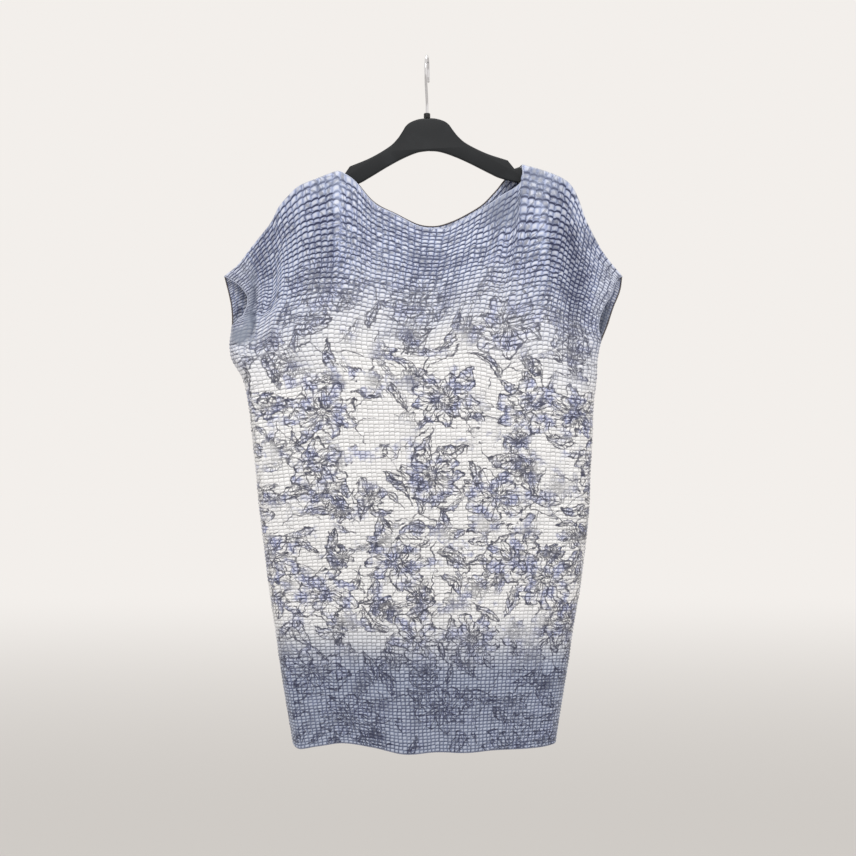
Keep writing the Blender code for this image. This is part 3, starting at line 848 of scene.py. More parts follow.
def panel_depth(side, x, z, full):
    """Depth of a panel from front to back, away from its sides."""
    drop = distance_below_shoulder(x, z)
    depth = smooth_table(SIDE_PROFILE, 1 if side < 0 else 2, drop)
    folded = 1 - np.clip(1 - drop / SHOULDER_FOLD_HEIGHT, 0, 1) ** SHOULDER_FOLD_POWER
    depth = depth * folded ** (1 / SHOULDER_FOLD_POWER)
    past_arm = ramp((np.abs(x) - ARM_END) / SLEEVE_LENGTH)
    depth = depth * (1 - SLEEVE_FLATTENING * past_arm * (1 - full))
    return depth + fold_relief(side, x, z) * ramp(drop / FOLD_FULL_DROP)


def surface(side, u, v):
    """Points of a panel's pleat valleys. side is -1 for the front and 1 for the back."""
    z = row_height(side, u, v)
    full = ramp(v / ROUND_FULL_AT)
    x, left_share, right_share = lay_across(side, u, v, full)
    y = side * panel_depth(side, x, z, full) * left_share * right_share
    return np.stack([x, y, z], axis=-1)


def unit(vectors):
    """Vectors of length 1."""
    lengths = np.linalg.norm(vectors, axis=-1, keepdims=True)
    return vectors / np.maximum(lengths, SMALLEST_VECTOR)


def grid_normals(side, points):
    """Directions straight out of a panel's outer side, from a grid of its points."""
    across = np.gradient(points, axis=1)
    down = np.gradient(points, axis=0)
    return side * unit(np.cross(across, down))


def waver(seed, x, y):
    """Smooth random field between -1 and 1, with bumps about one unit of x and y apart."""
    table = np.random.default_rng(seed).uniform(-1, 1, (WAVER_SIZE, WAVER_SIZE))
    column = np.floor(x).astype(int)
    row = np.floor(y).astype(int)
    across = ramp(x - column)
    down = ramp(y - row)
    corners = [
        table[(row + below) % WAVER_SIZE, (column + beside) % WAVER_SIZE]
        for below in (0, 1) for beside in (0, 1)
    ]
    upper = corners[0] * (1 - across) + corners[1] * across
    lower = corners[2] * (1 - across) + corners[3] * across
    return upper * (1 - down) + lower * down


def uneven(field, x, y, side=0):
    """Random unevenness of one of the kinds above. A panel's side gives it a seed of its own."""
    seed, amount, width, height = field
    return amount * waver(seed + side, x / width, y / height)


def pillow(number, lean=1.0):
    """Height of a pleat, as a share, where whole numbers lie in its valleys."""
    share = (number - np.floor(number)) ** lean
    return 1 - np.abs(2 * share - 1) ** PILLOW_POWER


def crease_relief(side, x, z):
    """How far the creases stand out of the front or back. They waver in depth."""
    relief = np.zeros_like(x)
    for *ends, half_width, height in rows_for(side, CREASES):
        distance = distance_to_stretch(x, z, ends[:2], ends[2:])
        relief += height * np.exp(-((distance / half_width) ** 2))
    return relief * (1 + uneven(CREASE_WAVER, x, z))


def oval_place(x, z, x_middle, z_middle, half_width, half_height, middle=0.0):
    """Share that is 1 in the middle of an oval place and falls to 0 around it."""
    away = np.hypot((x - x_middle) / half_width, (z - z_middle) / half_height)
    return 1 - ramp(away - middle)


def crease_shade(side, x, z):
    """Painted shade of inward creases and shaded places, as a share that is below 0 where light is
    painted.
    """
    shade = np.zeros_like(x)
    wavering = EVEN_CREASE_SHADE + uneven(SHADE_WAVER, x, z)
    for *ends, half_width, height in rows_for(side, CREASES):
        distance = distance_to_stretch(x, z, ends[:2], ends[2:])
        dark = np.exp(-((distance / (CREASE_DARK_WIDTH * half_width)) ** 2))
        shade = np.maximum(shade, -CREASE_DARKNESS * height * dark * wavering)
    for *place, share in rows_for(side, SHADED):
        shade = 1 - (1 - shade) * (1 - share * oval_place(x, z, *place))
    return shade


def pressed_share(side, x, z):
    """Share of the pleats' height that is left where the cloth lies pressed."""
    left = np.ones_like(x)
    for *place, lost in rows_for(side, PRESSED):
        left *= 1 - lost * oval_place(x, z, *place, PRESSED_MIDDLE)
    return left


def band_share(column, row, middle, half_width, first, last, fades):
    """Share from 1 inside a band along some columns to 0 outside it."""
    share = np.exp(-(((column - middle) / half_width) ** 2))
    return share * ramp((row - first) / fades[0]) * ramp((last - row) / fades[1])


def row_shift(side, column, row):
    """How far a row is pushed up or down where the cloth bunches or sags, in rows."""
    shift = np.zeros_like(column)
    for *band, height in rows_for(side, ZIGZAGS):
        share = band_share(column, row, *band, ZIGZAG_FADES)
        shift += height * share * uneven(ZIGZAG_WAVER, column, row)
    for *band, height in rows_for(side, ROW_BENDS):
        shift += height * band_share(column, row, *band, BEND_FADES)
    return shift


def cell_places(count):
    """Places of the mesh points along a line of pleats, in pleats."""
    places = [cell + share for cell in range(count) for share in CELL_POINTS]
    return np.array(places + [count])


def place_on_seams(side, points, normals, column, row):
    """Sets a panel's sewn borders half a gap from the seam, with normals in the seam's plane."""
    half_gap = SEAM_GAP / 2
    on_shoulder = (row <= 0) & ((column <= NECK_FIRST_COLUMN) | (column >= NECK_LAST_COLUMN))
    normals[on_shoulder, 1] = 0.0
    points[on_shoulder, 1] = side * half_gap
    for edge, beside, underarm in ((0, 1, LEFT_UNDERARM), (-1, -2, RIGHT_UNDERARM)):
        sewn = row[:, edge] >= underarm * ROWS
        outward = unit(points[:, edge] - points[:, beside])
        outward[:, 1] = 0.0
        normals[sewn, edge] = unit(outward)[sewn]
        points[sewn, edge, 1] += side * half_gap


def pleat_height(side, column, row, pressed):
    """Height of the pleats over their valleys."""
    bump = pillow(row, ROW_LEAN) * (COLUMN_VALLEY + (1 - COLUMN_VALLEY) * pillow(column))
    column_pace = np.floor(column) * PLEAT_PACE
    row_pace = np.floor(row) * PLEAT_PACE
    wavering = 1 + uneven(PLEAT_WAVER, column_pace, row_pace, side)
    return PLEAT_HEIGHT * bump * wavering * (1 - pressed)


@functools.cache
def panel_grid(side):
    """Outer and inner points of a panel, and each one's column, row, flatness and crease shade."""
    column, row = np.meshgrid(cell_places(COLUMNS), cell_places(ROWS))
    free = ramp(column / STEADY_PLEATS) * ramp((COLUMNS - column) / STEADY_PLEATS)
    free = free * ramp(row / STEADY_PLEATS) * ramp((ROWS - row) / STEADY_PLEATS)
    u = (column + free * uneven(COLUMN_WAVER, column, row, side)) / COLUMNS
    shifted = row + row_shift(side, column, row)
    v = (shifted + free * uneven(ROW_WAVER, column, row, side)) / ROWS
    points = surface(side, u, v)
    x = points[..., 0]
    z = points[..., 2]
    normals = grid_normals(side, points)

    away = ramp(distance_below_shoulder(x, z) / STEADY_DROP) * free
    soft = uneven(BROAD_WAVER, x, z, side) + uneven(FINE_WAVER, x, z, side)
    shift = (crease_relief(side, x, z) + soft) * away
    points = points + normals * shift[..., None]
    normals = grid_normals(side, points)
    place_on_seams(side, points, normals, column, row)

    pressed = 1 - pressed_share(side, x, z)
    height = pleat_height(side, column, row, pressed)
    outer = points + unit(normals) * height[..., None]
    inner = points - unit(normals) * CLOTH_THICKNESS
    return outer, inner, column, row, pressed, crease_shade(side, x, z)


def rim_faces(outer_chain, inner_chain, step):
    """Faces between the outer and inner borders. Each inner stretch lies under step outer ones."""
    faces = []
    for k in range(len(inner_chain) - 1):
        near = inner_chain[k]
        far = inner_chain[k + 1]
        start = k * step
        middle = start + step // 2
        for place in range(start, middle):
            faces.append((near, outer_chain[place], outer_chain[place + 1]))
        faces.append((near, outer_chain[middle], far))
        for place in range(middle, start + step):
            faces.append((far, outer_chain[place], outer_chain[place + 1]))
    return faces


def grid_faces(numbers):
    """Four-sided faces between the points of a grid."""
    corners = (numbers[:-1, :-1], numbers[:-1, 1:], numbers[1:, 1:], numbers[1:, :-1])
    return np.stack(corners, axis=-1).reshape(-1, 4).tolist()


def make_panel(name, side, material):
    """One cloth panel as a closed thin shell, with its maps for the print and the bake."""
    outer, inner, column, row, pressed, painted_crease_shade = panel_grid(side)
    outer_numbers = np.arange(outer.shape[0] * outer.shape[1]).reshape(outer.shape[:2])
    kept = (slice(None, None, INNER_ROW_STEP), slice(None, None, INNER_COLUMN_STEP))
    inner = inner[kept]
    inner_numbers = outer_numbers.size + np.arange(inner.shape[0] * inner.shape[1])
    inner_numbers = inner_numbers.reshape(inner.shape[:2])

    faces = grid_faces(outer_numbers) + grid_faces(inner_numbers)
    for line in (0, -1):
        faces += rim_faces(outer_numbers[line], inner_numbers[line], INNER_COLUMN_STEP)
        faces += rim_faces(outer_numbers[:, line], inner_numbers[:, line], INNER_ROW_STEP)
    points = np.concatenate([outer.reshape(-1, 3), inner.reshape(-1, 3)]) * MM
    data = bpy.data.meshes.new(name)
    data.from_pydata(points.tolist(), [], faces)
    fields = [
        np.concatenate([field.ravel(), field[kept].ravel()])
        for field in (column, row, pressed, painted_crease_shade)
    ]
    add_cloth_maps(data, fields, outer_numbers.size)

    mesh = bmesh.new()
    mesh.from_mesh(data)
    bmesh.ops.recalc_face_normals(mesh, faces=mesh.faces)
    mesh.to_mesh(data)
    mesh.free()
    data.shade_smooth()
    return place_piece(name, data, material)


def read_all(items, attribute):
    """One whole number of each item of a mesh."""
    values = np.empty(len(items), dtype=int)
    items.foreach_get(attribute, values)
    return values


def add_cloth_maps(data, fields, outer_count):
    """Stores each point's pleat, flatness and painted shade, and a map of the outer and inner
    sides.
    """
    columns, rows, flatness, shade = fields
    pleats = data.attributes.new("pleats", "FLOAT_VECTOR", "POINT")
    values = np.stack([columns, rows, flatness], axis=-1)
    pleats.data.foreach_set("vector", values.ravel())
    # The creases attribute holds the painted shade of creases and shaded places, below 0 where
    # light is painted
    data.attributes.new("creases", "FLOAT", "POINT").data.foreach_set("value", shade)

    corner_points = read_all(data.loops, "vertex_index")
    starts = read_all(data.polygons, "loop_start")
    totals = read_all(data.polygons, "loop_total")
    is_inner = corner_points >= outer_count
    inner_corners = np.repeat(np.add.reduceat(is_inner.astype(int), starts), totals)
    all_inner = inner_corners == np.repeat(totals, totals)
    strip = RIM_STRIP * (is_inner & ~all_inner)

    across = columns[corner_points] / COLUMNS
    down = rows[corner_points] / ROWS
    first = np.where(all_inner, INNER_MAP[0], OUTER_MAP[0])
    width = np.where(all_inner, INNER_MAP[1], OUTER_MAP[1])
    x = first + width * across + strip * (across >= 1) - strip * (across <= 0)
    y = MAP_DOWN[0] - MAP_DOWN[1] * down + strip * (down <= 0) - strip * (down >= 1)
    layer = data.uv_layers.new(name="OFBake")
    layer.data.foreach_set("uv", np.stack([x, y], axis=-1).ravel())


def place_piece(name, data, material):
    """Puts a mesh in the scene as a piece that rides on the part's body."""
    piece = bpy.data.objects.new(name, data)
    bpy.context.scene.collection.objects.link(piece)
    data.materials.append(material)
    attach(piece, "root")
    return piece


def skin(mesh, rings):
    """Faces from each ring of points to the next."""
    for upper, lower in zip(rings, rings[1:]):
        for k in range(len(upper)):
            after = (k + 1) % len(upper)
            mesh.faces.new((upper[k], upper[after], lower[after], lower[k]))


def finish_piece(name, mesh, material, sharp_angle=None):
    """Turns a mesh in the making into a piece, smooth apart from edges over the sharp angle."""
    bmesh.ops.recalc_face_normals(mesh, faces=mesh.faces)
    data = bpy.data.meshes.new(name)
    mesh.to_mesh(data)
    mesh.free()
    data.shade_smooth()
    if sharp_angle is not None:
        data.set_sharp_from_angle(angle=sharp_angle)
    return place_piece(name, data, material)


def sweep(name, path, radii, directions, sides, material):
    """A closed tube along a path, with its own radius and two directions across at each point."""
    turns = np.arange(sides) * 2 * math.pi / sides
    mesh = bmesh.new()
    rings = []
    for place, radius, one, two in zip(path, radii, *directions):
        ring = [place + radius * (one * math.cos(t) + two * math.sin(t)) for t in turns]
        rings.append([mesh.verts.new(point * MM) for point in ring])
    skin(mesh, rings)
    mesh.faces.new(rings[0])
    mesh.faces.new(rings[-1])
    return finish_piece(name, mesh, material)


def directions_across(path):
    """Two directions across a path at each of its points."""
    tangents = unit(np.gradient(path, axis=0))
    guide = np.array((0.0, 1.0, 0.0))
    if np.abs(tangents @ guide).max() > TOO_NEAR:
        guide = np.array((1.0, 0.0, 0.0))
    first = unit(np.cross(tangents, guide))
    return first, np.cross(first, tangents)


def along_path(points, spacing):
    """Points at an even spacing along a path."""
    steps = np.linalg.norm(np.diff(points, axis=0), axis=1)
    length = np.concatenate([[0.0], np.cumsum(steps)])
    places = np.linspace(0, length[-1], max(int(length[-1] / spacing), 3))
    return np.stack([np.interp(places, length, points[:, axis]) for axis in range(3)], axis=-1)


def make_sewn_edge(name, points, material):
    """Narrow overlocked edge: a cord of thread with a bulge for each stitch."""
    path = along_path(points, STITCH_LENGTH / STITCH_STEPS)
    places = np.arange(len(path)) * STITCH_LENGTH / STITCH_STEPS
    bulge = STITCH_RELIEF * np.cos(places * 2 * math.pi / STITCH_LENGTH)
    radii = EDGE_RADIUS + bulge + uneven(THREAD_WAVER, places, np.zeros_like(places))
    return sweep(name, path, radii, directions_across(path), EDGE_SIDES, material)


def panel_border(side, border):
    """Line two thirds deep in the wall along a border of a panel: neck, left, right or hem."""
    outer, inner, column, row = panel_grid(side)[:4]
    deep = (outer + 2 * inner) / 3
    if border == "neck":
        keep = (column[0] >= NECK_FIRST_COLUMN) & (column[0] <= NECK_LAST_COLUMN)
        return deep[0][keep]
    if border == "left":
        return deep[:, 0][row[:, 0] <= LEFT_UNDERARM * ROWS]
    if border == "right":
        return deep[:, -1][row[:, -1] <= RIGHT_UNDERARM * ROWS]
    return deep[-1]


class Number:
    """A number over a surface, worked out by shader nodes."""

    def __init__(self, tree, socket):
        self.tree = tree
        self.socket = socket

    def step(self, operation, *others):
        """The result of one math node."""
        node = self.tree.nodes.new("ShaderNodeMath")
        node.operation = operation
        for place, value in enumerate((self, *others)):
            connect(self.tree, value, node.inputs[place])
        return Number(self.tree, node.outputs[0])

    def __add__(self, other):
        return self.step("ADD", other)

    def __sub__(self, other):
        return self.step("SUBTRACT", other)

    def __mul__(self, other):
        return self.step("MULTIPLY", other)

    def __truediv__(self, other):
        return self.step("DIVIDE", other)

    def __pow__(self, other):
        return self.step("POWER", other)

    def __abs__(self):
        return self.step("ABSOLUTE")

    def rest(self):
        """1 minus this number."""
        return self * -1.0 + 1.0

    def without(self, other):
        """This number where the other is 0, and 0 where it is 1."""
        return self * other.rest()

    def most(self, *others):
        """The highest of this number and the others."""
        highest = self
        for other in others:
            highest = highest.step("MAXIMUM", other)
        return highest

    def between(self, low, high):
        """This share, moved to go from low at 0 to high at 1."""
        return self * (high - low) + low

    def rise(self, low, high):
        """Smooth rise from 0 at low to 1 at high."""
        node = self.tree.nodes.new("ShaderNodeMapRange")
        node.interpolation_type = "SMOOTHSTEP"
        connect(self.tree, self, node.inputs["Value"])
        connect(self.tree, low, node.inputs["From Min"])
        connect(self.tree, high, node.inputs["From Max"])
        return Number(self.tree, node.outputs[0])

    def fall(self, low, high):
        """Smooth fall from 1 at low to 0 at high."""
        return self.rise(low, high).rest()


def connect(tree, value, socket):
    """Links a number or socket to an input, or sets the input to a plain value."""
    if isinstance(value, Number):
        value = value.socket
    if isinstance(value, bpy.types.NodeSocket):
        tree.links.new(value, socket)
    else:
        socket.default_value = value


def add_node(tree, kind, settings=None, **inputs):
    """A shader node with its settings, and its inputs linked or set by name."""
    node = tree.nodes.new(kind)
    for name, value in (settings or {}).items():
        setattr(node, name, value)
    for name, value in inputs.items():
        connect(tree, value, node.inputs[name.replace("_", " ")])
    return node


def noise(tree, place, scale, detail):
    """Noise node at a place. Its outputs are a number and a colour."""
    return add_node(
        tree, "ShaderNodeTexNoise",
        Vector=place, Scale=scale, Detail=detail, Roughness=NOISE_ROUGHNESS,
    )


def noise_number(tree, place, scale, detail):
    """Noise between 0 and 1."""
    return Number(tree, noise(tree, place, scale, detail).outputs[0])


def patches(tree, place, kind):
    """Soft patches between 0 and 1, of one of the kinds above."""
    scale, detail, low, high = kind
    return noise_number(tree, place, scale, detail).rise(low, high)


def vector_step(tree, operation, first, second=(0.0, 0.0, 0.0)):
    """The vector that one vector math node gives."""
    node = tree.nodes.new("ShaderNodeVectorMath")
    node.operation = operation
    connect(tree, first, node.inputs[0])
    connect(tree, second, node.inputs["Scale" if operation == "SCALE" else 1])
    return node.outputs["Value" if operation == "LENGTH" else "Vector"]


def wander(tree, place, bends):
    """A place moved at random by up to about half each bend's reach, as a hand does."""
    for scale, reach, detail in bends:
        colour = noise(tree, place, scale, detail).outputs[1]
        centred = vector_step(tree, "SUBTRACT", colour, MIDDLE_GREY)
        place = vector_step(tree, "ADD", place, vector_step(tree, "SCALE", centred, reach))
    return place


def line_of(distance, width):
    """1 where the distance is small and 0 past the line's width."""
    return abs(distance).fall(width * LINE_CORE, width)


def new_motif(name):
    """An empty node group for a motif, with its sockets, and its input and output nodes."""
    tree = bpy.data.node_groups.new(name, "ShaderNodeTree")
    tree.interface.new_socket("Place", in_out="INPUT", socket_type="NodeSocketVector")
    for socket in ("Density", "Radius", "Line"):
        tree.interface.new_socket(socket, in_out="INPUT", socket_type="NodeSocketFloat")
    for socket in ("Lines", "Fill"):
        tree.interface.new_socket(socket, in_out="OUTPUT", socket_type="NodeSocketFloat")
    return tree, tree.nodes.new("NodeGroupInput"), tree.nodes.new("NodeGroupOutput")


def scattered(tree, place, density, randomness):
    """Place relative to the nearest of many scattered centres, and that centre's own chance."""
    cells = add_node(
        tree, "ShaderNodeTexVoronoi", {"voronoi_dimensions": "2D"},
        Vector=place, Scale=density, Randomness=randomness,
    )
    local = vector_step(tree, "SUBTRACT", place, cells.outputs["Position"])
    parts = add_node(tree, "ShaderNodeSeparateXYZ", Vector=local)
    random = add_node(tree, "ShaderNodeSeparateColor", Color=cells.outputs["Color"])
    return (
        [Number(tree, socket) for socket in parts.outputs[:2]],
        [Number(tree, socket) for socket in random.outputs[:3]],
    )


def draw_petals(away, phase, reach, petals, broken, width):
    """Ink lines of a ring of petals, and the place that it covers."""
    wave = abs(phase.step("COSINE"))
    reach = reach * (wave**PETAL_POINT).between(*PETAL_REACH)
    inside = (reach - away).rise(*FILL_EDGE)
    outline = line_of(away - reach, width)
    second_line = (broken - BROKEN_MIDDLE) * BROKEN_REACH
    second_outline = line_of(away - reach + second_line, width * SECOND_OUTLINE)
    divider = line_of(away * wave * 2.0 / petals, width)
    vein = line_of(away * abs(phase.step("SINE")) * 2.0 / petals, width * VEIN_WIDTH)
    from_side_vein = away * abs((phase * SIDE_VEINS).step("SINE")) * 2.0 / SIDE_VEINS / petals
    side_vein = line_of(from_side_vein, width * SIDE_VEIN_WIDTH) * broken.rise(*HATCHED)
    return outline.most(second_outline, divider.most(vein, side_vein) * inside), inside


def make_blossom_group():
    """Scattered round blossoms in ink line: rings of veined petals round a seeded middle."""
    tree, given, result = new_motif("blossoms")
    place = wander(tree, given.outputs["Place"], BLOSSOM_BENDS)
    width = Number(tree, given.outputs["Line"])
    (x, y), (one, two, three) = scattered(tree, place, given.outputs["Density"], BLOSSOM_SCATTER)
    y = y * two.between(*BLOSSOM_FLATTENING)
    away = (x * x + y * y) ** 0.5
    angle = y.step("ARCTAN2", x) + one * math.tau
    petals = three.between(*PETALS).step("FLOOR")
    radius = Number(tree, given.outputs["Radius"]) * two.between(*BLOSSOM_SIZES)
    broken = noise_number(tree, place, *BROKEN)

    from_middle = away - radius * SEEDED_MIDDLE
    covered = (from_middle * -1.0).rise(*FILL_EDGE)
    total = line_of(from_middle, width).most(covered * patches(tree, place, SEEDS))
    for ring, share in enumerate(PETAL_RINGS):
        phase = angle * petals * 0.5 + ring * math.pi / 2
        lines, inside = draw_petals(away, phase, radius * share, petals, broken, width)
        total = total.most(lines.without(covered))
        covered = covered.most(inside)
    connect(tree, total, result.inputs["Lines"])
    connect(tree, covered, result.inputs["Fill"])
    return tree


def make_leaf_group():
    """Scattered bent leaves in ink line, each with a stalk, a midrib and side veins."""
    tree, given, result = new_motif("leaves")
    place = wander(tree, given.outputs["Place"], LEAF_BENDS)
    width = Number(tree, given.outputs["Line"])
    (x, y), (one, two, three) = scattered(tree, place, given.outputs["Density"], LEAF_SCATTER)
    turn = one * math.tau
    cosine = turn.step("COSINE")
    sine = turn.step("SINE")
    length = Number(tree, given.outputs["Radius"]) * two.between(*LEAF_LENGTHS)
    along = x * cosine + y * sine
    across = y * cosine - x * sine
    across = across + along * along / length * (three - 0.5) * LEAF_BEND
    share = along / length
    half_width = (share * share).rest() * length * LEAF_WIDTH
    inside = (half_width - abs(across)).rise(*FILL_EDGE)
    outline = line_of(abs(across) - half_width, width) * abs(share).fall(*LEAF_END)
    stalk = line_of(across, width) * abs(share - STALK_MIDDLE).fall(*STALK_END)
    veins = (along + abs(across) * LEAF_VEIN_SLANT) * LEAF_VEINS
    from_vein = abs(veins.step("FRACT") - 0.5) / LEAF_VEINS
    ribs = line_of(from_vein, width * LEAF_VEIN_WIDTH) * inside
    connect(tree, outline.most(stalk, ribs), result.inputs["Lines"])
    connect(tree, inside, result.inputs["Fill"])
    return tree


def draw_stems(tree, place, kind):
    """Long bent stems: the borders between scattered centres, broken in places."""
    spacing, width = kind
    cells = add_node(
        tree, "ShaderNodeTexVoronoi", {"voronoi_dimensions": "2D", "feature": "DISTANCE_TO_EDGE"},
        Vector=wander(tree, place, STEM_BENDS), Scale=1 / spacing, Randomness=1.0,
    )
    stems = line_of(Number(tree, cells.outputs["Distance"]) * spacing, width)
    return stems * patches(tree, place, STEMS_SHOWN)


def use_group(tree, group, place, motif):
    """Lines and fill of a group of motifs."""
    spacing, radius, line = motif
    node = add_node(
        tree, "ShaderNodeGroup", {"node_tree": group},
        Place=place, Density=1 / spacing, Radius=radius, Line=line,
    )
    return Number(tree, node.outputs["Lines"]), Number(tree, node.outputs["Fill"])


def mix_colour(tree, share, first, second):
    """A colour between two, by a share. The node's sockets 6 and 7 take the two colours."""
    node = add_node(tree, "ShaderNodeMix", {"data_type": "RGBA", "clamp_factor": True})
    connect(tree, share, node.inputs[0])
    connect(tree, first, node.inputs[6])
    connect(tree, second, node.inputs[7])
    return node.outputs[2]


def plain_material(name, roughness, metallic=0.0):
    """A material with its shader, whose even values sit on the shader's own sockets."""
    material = bpy.data.materials.new(name)
    material.use_nodes = True
    shader = material.node_tree.nodes["Principled BSDF"]
    shader.inputs["Roughness"].default_value = roughness
    shader.inputs["Metallic"].default_value = metallic
    return material, material.node_tree, shader


def random_numbers(tree, place, shift):
    """Three random numbers for each pleat, or for a stretch of a line when shifted by a half."""
    cell = vector_step(tree, "FLOOR", vector_step(tree, "ADD", place, shift))
    speckle = add_node(tree, "ShaderNodeTexWhiteNoise", {"noise_dimensions": "2D"}, Vector=cell)
    parts = add_node(tree, "ShaderNodeSeparateColor", Color=speckle.outputs["Color"])
    return speckle.outputs["Color"], [Number(tree, socket) for socket in parts.outputs[:3]]


def paint(tree, shader, share, first, second):
    """Gives a material a colour between two, by a share."""
    connect(tree, mix_colour(tree, share, first, second), shader.inputs["Base Color"])


def add_bump(tree, shader, height, strength, distance):
    """Fine relief on a material."""
    bump = add_node(tree, "ShaderNodeBump", Strength=strength, Distance=distance, Height=height)
    connect(tree, bump.outputs[0], shader.inputs["Normal"])


def object_place(tree):
    """Place on a piece, in metres."""
    return add_node(tree, "ShaderNodeTexCoord").outputs["Object"]


def distance_to_line(number, random):
    """Distance from the nearest line between pleats, which steps a little from pleat to pleat."""
    return abs((number + (random - 0.5) * LINE_STEP + 0.5).step("FRACT") - 0.5)


def line_darkness(tree, number, other, patchy, chance, shares):
    """Darkness of lines between pleats, from noise that is alike along a line, and from chance."""
    line = (number + 0.5).step("FLOOR")
    place = add_node(tree, "ShaderNodeCombineXYZ", X=line * LINE_PACE[0], Y=other * LINE_PACE[1])
    along = patches(tree, place.outputs[0], ALONG_LINE)
    return along * shares[0] + patchy * shares[1] + chance * shares[2] + shares[3]


class Pleats:
    """Each point's pleat, its distances from the lines beside it, and its places in the print."""

    def __init__(self, tree, offset):
        attribute = add_node(tree, "ShaderNodeAttribute", {"attribute_name": "pleats"})
        pleats = attribute.outputs["Vector"]
        parts = add_node(tree, "ShaderNodeSeparateXYZ", Vector=pleats)
        self.column, self.row, self.pressed = (Number(tree, socket) for socket in parts.outputs)
        flat = vector_step(tree, "MULTIPLY", pleats, (COLUMN_WIDTH, ROW_LENGTH, 0.0))
        self.steady = vector_step(tree, "ADD", flat, offset)
        speckle, chances = random_numbers(tree, pleats, (0.0, 0.0, 0.0))
        self.speck = chances[2]
        jolt = vector_step(tree, "SUBTRACT", speckle, MIDDLE_GREY)
        jolt = vector_step(tree, "MULTIPLY", jolt, PRINT_JOLT)
        self.place = vector_step(tree, "ADD", self.steady, jolt)

        row_step, self.row_chance = random_numbers(tree, pleats, (0.0, 0.5, 0.0))[1][:2]
        column_step, self.column_chance = random_numbers(tree, pleats, (0.5, 0.0, 0.0))[1][:2]
        across = self.column.step("FRACT") - 0.5
        slanted = self.row + across * ROW_SLANT - across * across * ROW_ARCH
        beside_seam = self.row.fall(*SEAM_ROWS) * SEAM_LINE
        self.row_edge = distance_to_line(slanted, row_step).most(beside_seam)
        self.column_edge = distance_to_line(self.column, column_step)
        self.crest = self.row_edge.rise(*ROW_CREST) * self.column_edge.rise(*COLUMN_CREST)


def draw_print(tree, place, groups):
    """Ink lines and washes of scattered blossoms, leaves, stems and scribble."""
    blossoms, leaves = groups
    other = vector_step(tree, "ADD", place, SECOND_PRINT)
    large, large_fill = use_group(tree, blossoms, place, LARGE_BLOSSOMS)
    small, small_fill = use_group(tree, blossoms, other, SMALL_BLOSSOMS)
    leaf, leaf_fill = use_group(tree, leaves, place, LEAVES)
    sprays, spray_fill = use_group(tree, leaves, other, SPRAYS)
    small_fill = small_fill.without(large_fill)
    flowers = large_fill.most(small_fill)
    crowd = patches(tree, place, CROWDED)
    stems = draw_stems(tree, place, STEMS).without(flowers)
    lines = large.most(small.without(large_fill) * crowd, leaf.without(flowers))
    lines = lines.most(sprays.without(flowers) * crowd, stems)

    scribbled = patches(tree, other, SCRIBBLED)
    leaf_washes = leaf_fill.most(spray_fill * crowd) * LEAF_WASH
    filled = large_fill.most(small_fill * crowd, leaf_washes, scribbled * SCRIBBLE_WASH)
    filled = filled * patches(tree, place, WASHED)
    hatching = draw_stems(tree, other, HATCHING) * filled.most(scribbled)
    return lines.most(hatching * HATCHING_INK), filled


def paint_ground(tree, pleats, upper, lower, lit_turned_edge):
    """White ground with its upper and lower colour, made paler on the crests as a painted
    highlight, and the edges of the sleeve openings painted pale as painted light.
    """
    # Painted highlight: the upper and lower colours are paler on the pleats' crests
    ground = mix_colour(tree, upper.without(pleats.crest * UPPER_LOST), WHITE, LILAC)
    ground = mix_colour(tree, lower.without(pleats.crest * LOWER_LOST), ground, LOWER_BLUE)
    # Painted light: the turned edges of the sleeve openings are painted paler, as where they face
    # the light
    turned = pleats.column.fall(*LEFT_TURNED).most(pleats.column.rise(*RIGHT_TURNED))
    turned = turned * pleats.row.fall(*TURNED_ROWS)
    return mix_colour(tree, turned * lit_turned_edge, ground, LIT_TURNED_CLOTH)


def paint_print(tree, pleats, upper, tinted, drawn, ground):
    """The ground with the print's washes and ink on it; the washes are paler on the crests as a
    painted highlight.
    """
    lines, filled = drawn
    pressure = patches(tree, pleats.place, PEN_PRESSURE).between(*INK_BY_PRESSURE)
    at_top = pleats.row.rise(*INK_ROWS).between(*INK_AT_TOP)
    ink = lines * pressure * at_top.without(upper * INK_LOST)
    washed = (filled * WASH).without(pleats.crest * WASH_LOST_ON_CRESTS)
    ground = mix_colour(tree, washed.without(tinted * WASH_LOST_ON_COLOUR), ground, SHADE_BLUE)
    return mix_colour(tree, ink, ground, INK)


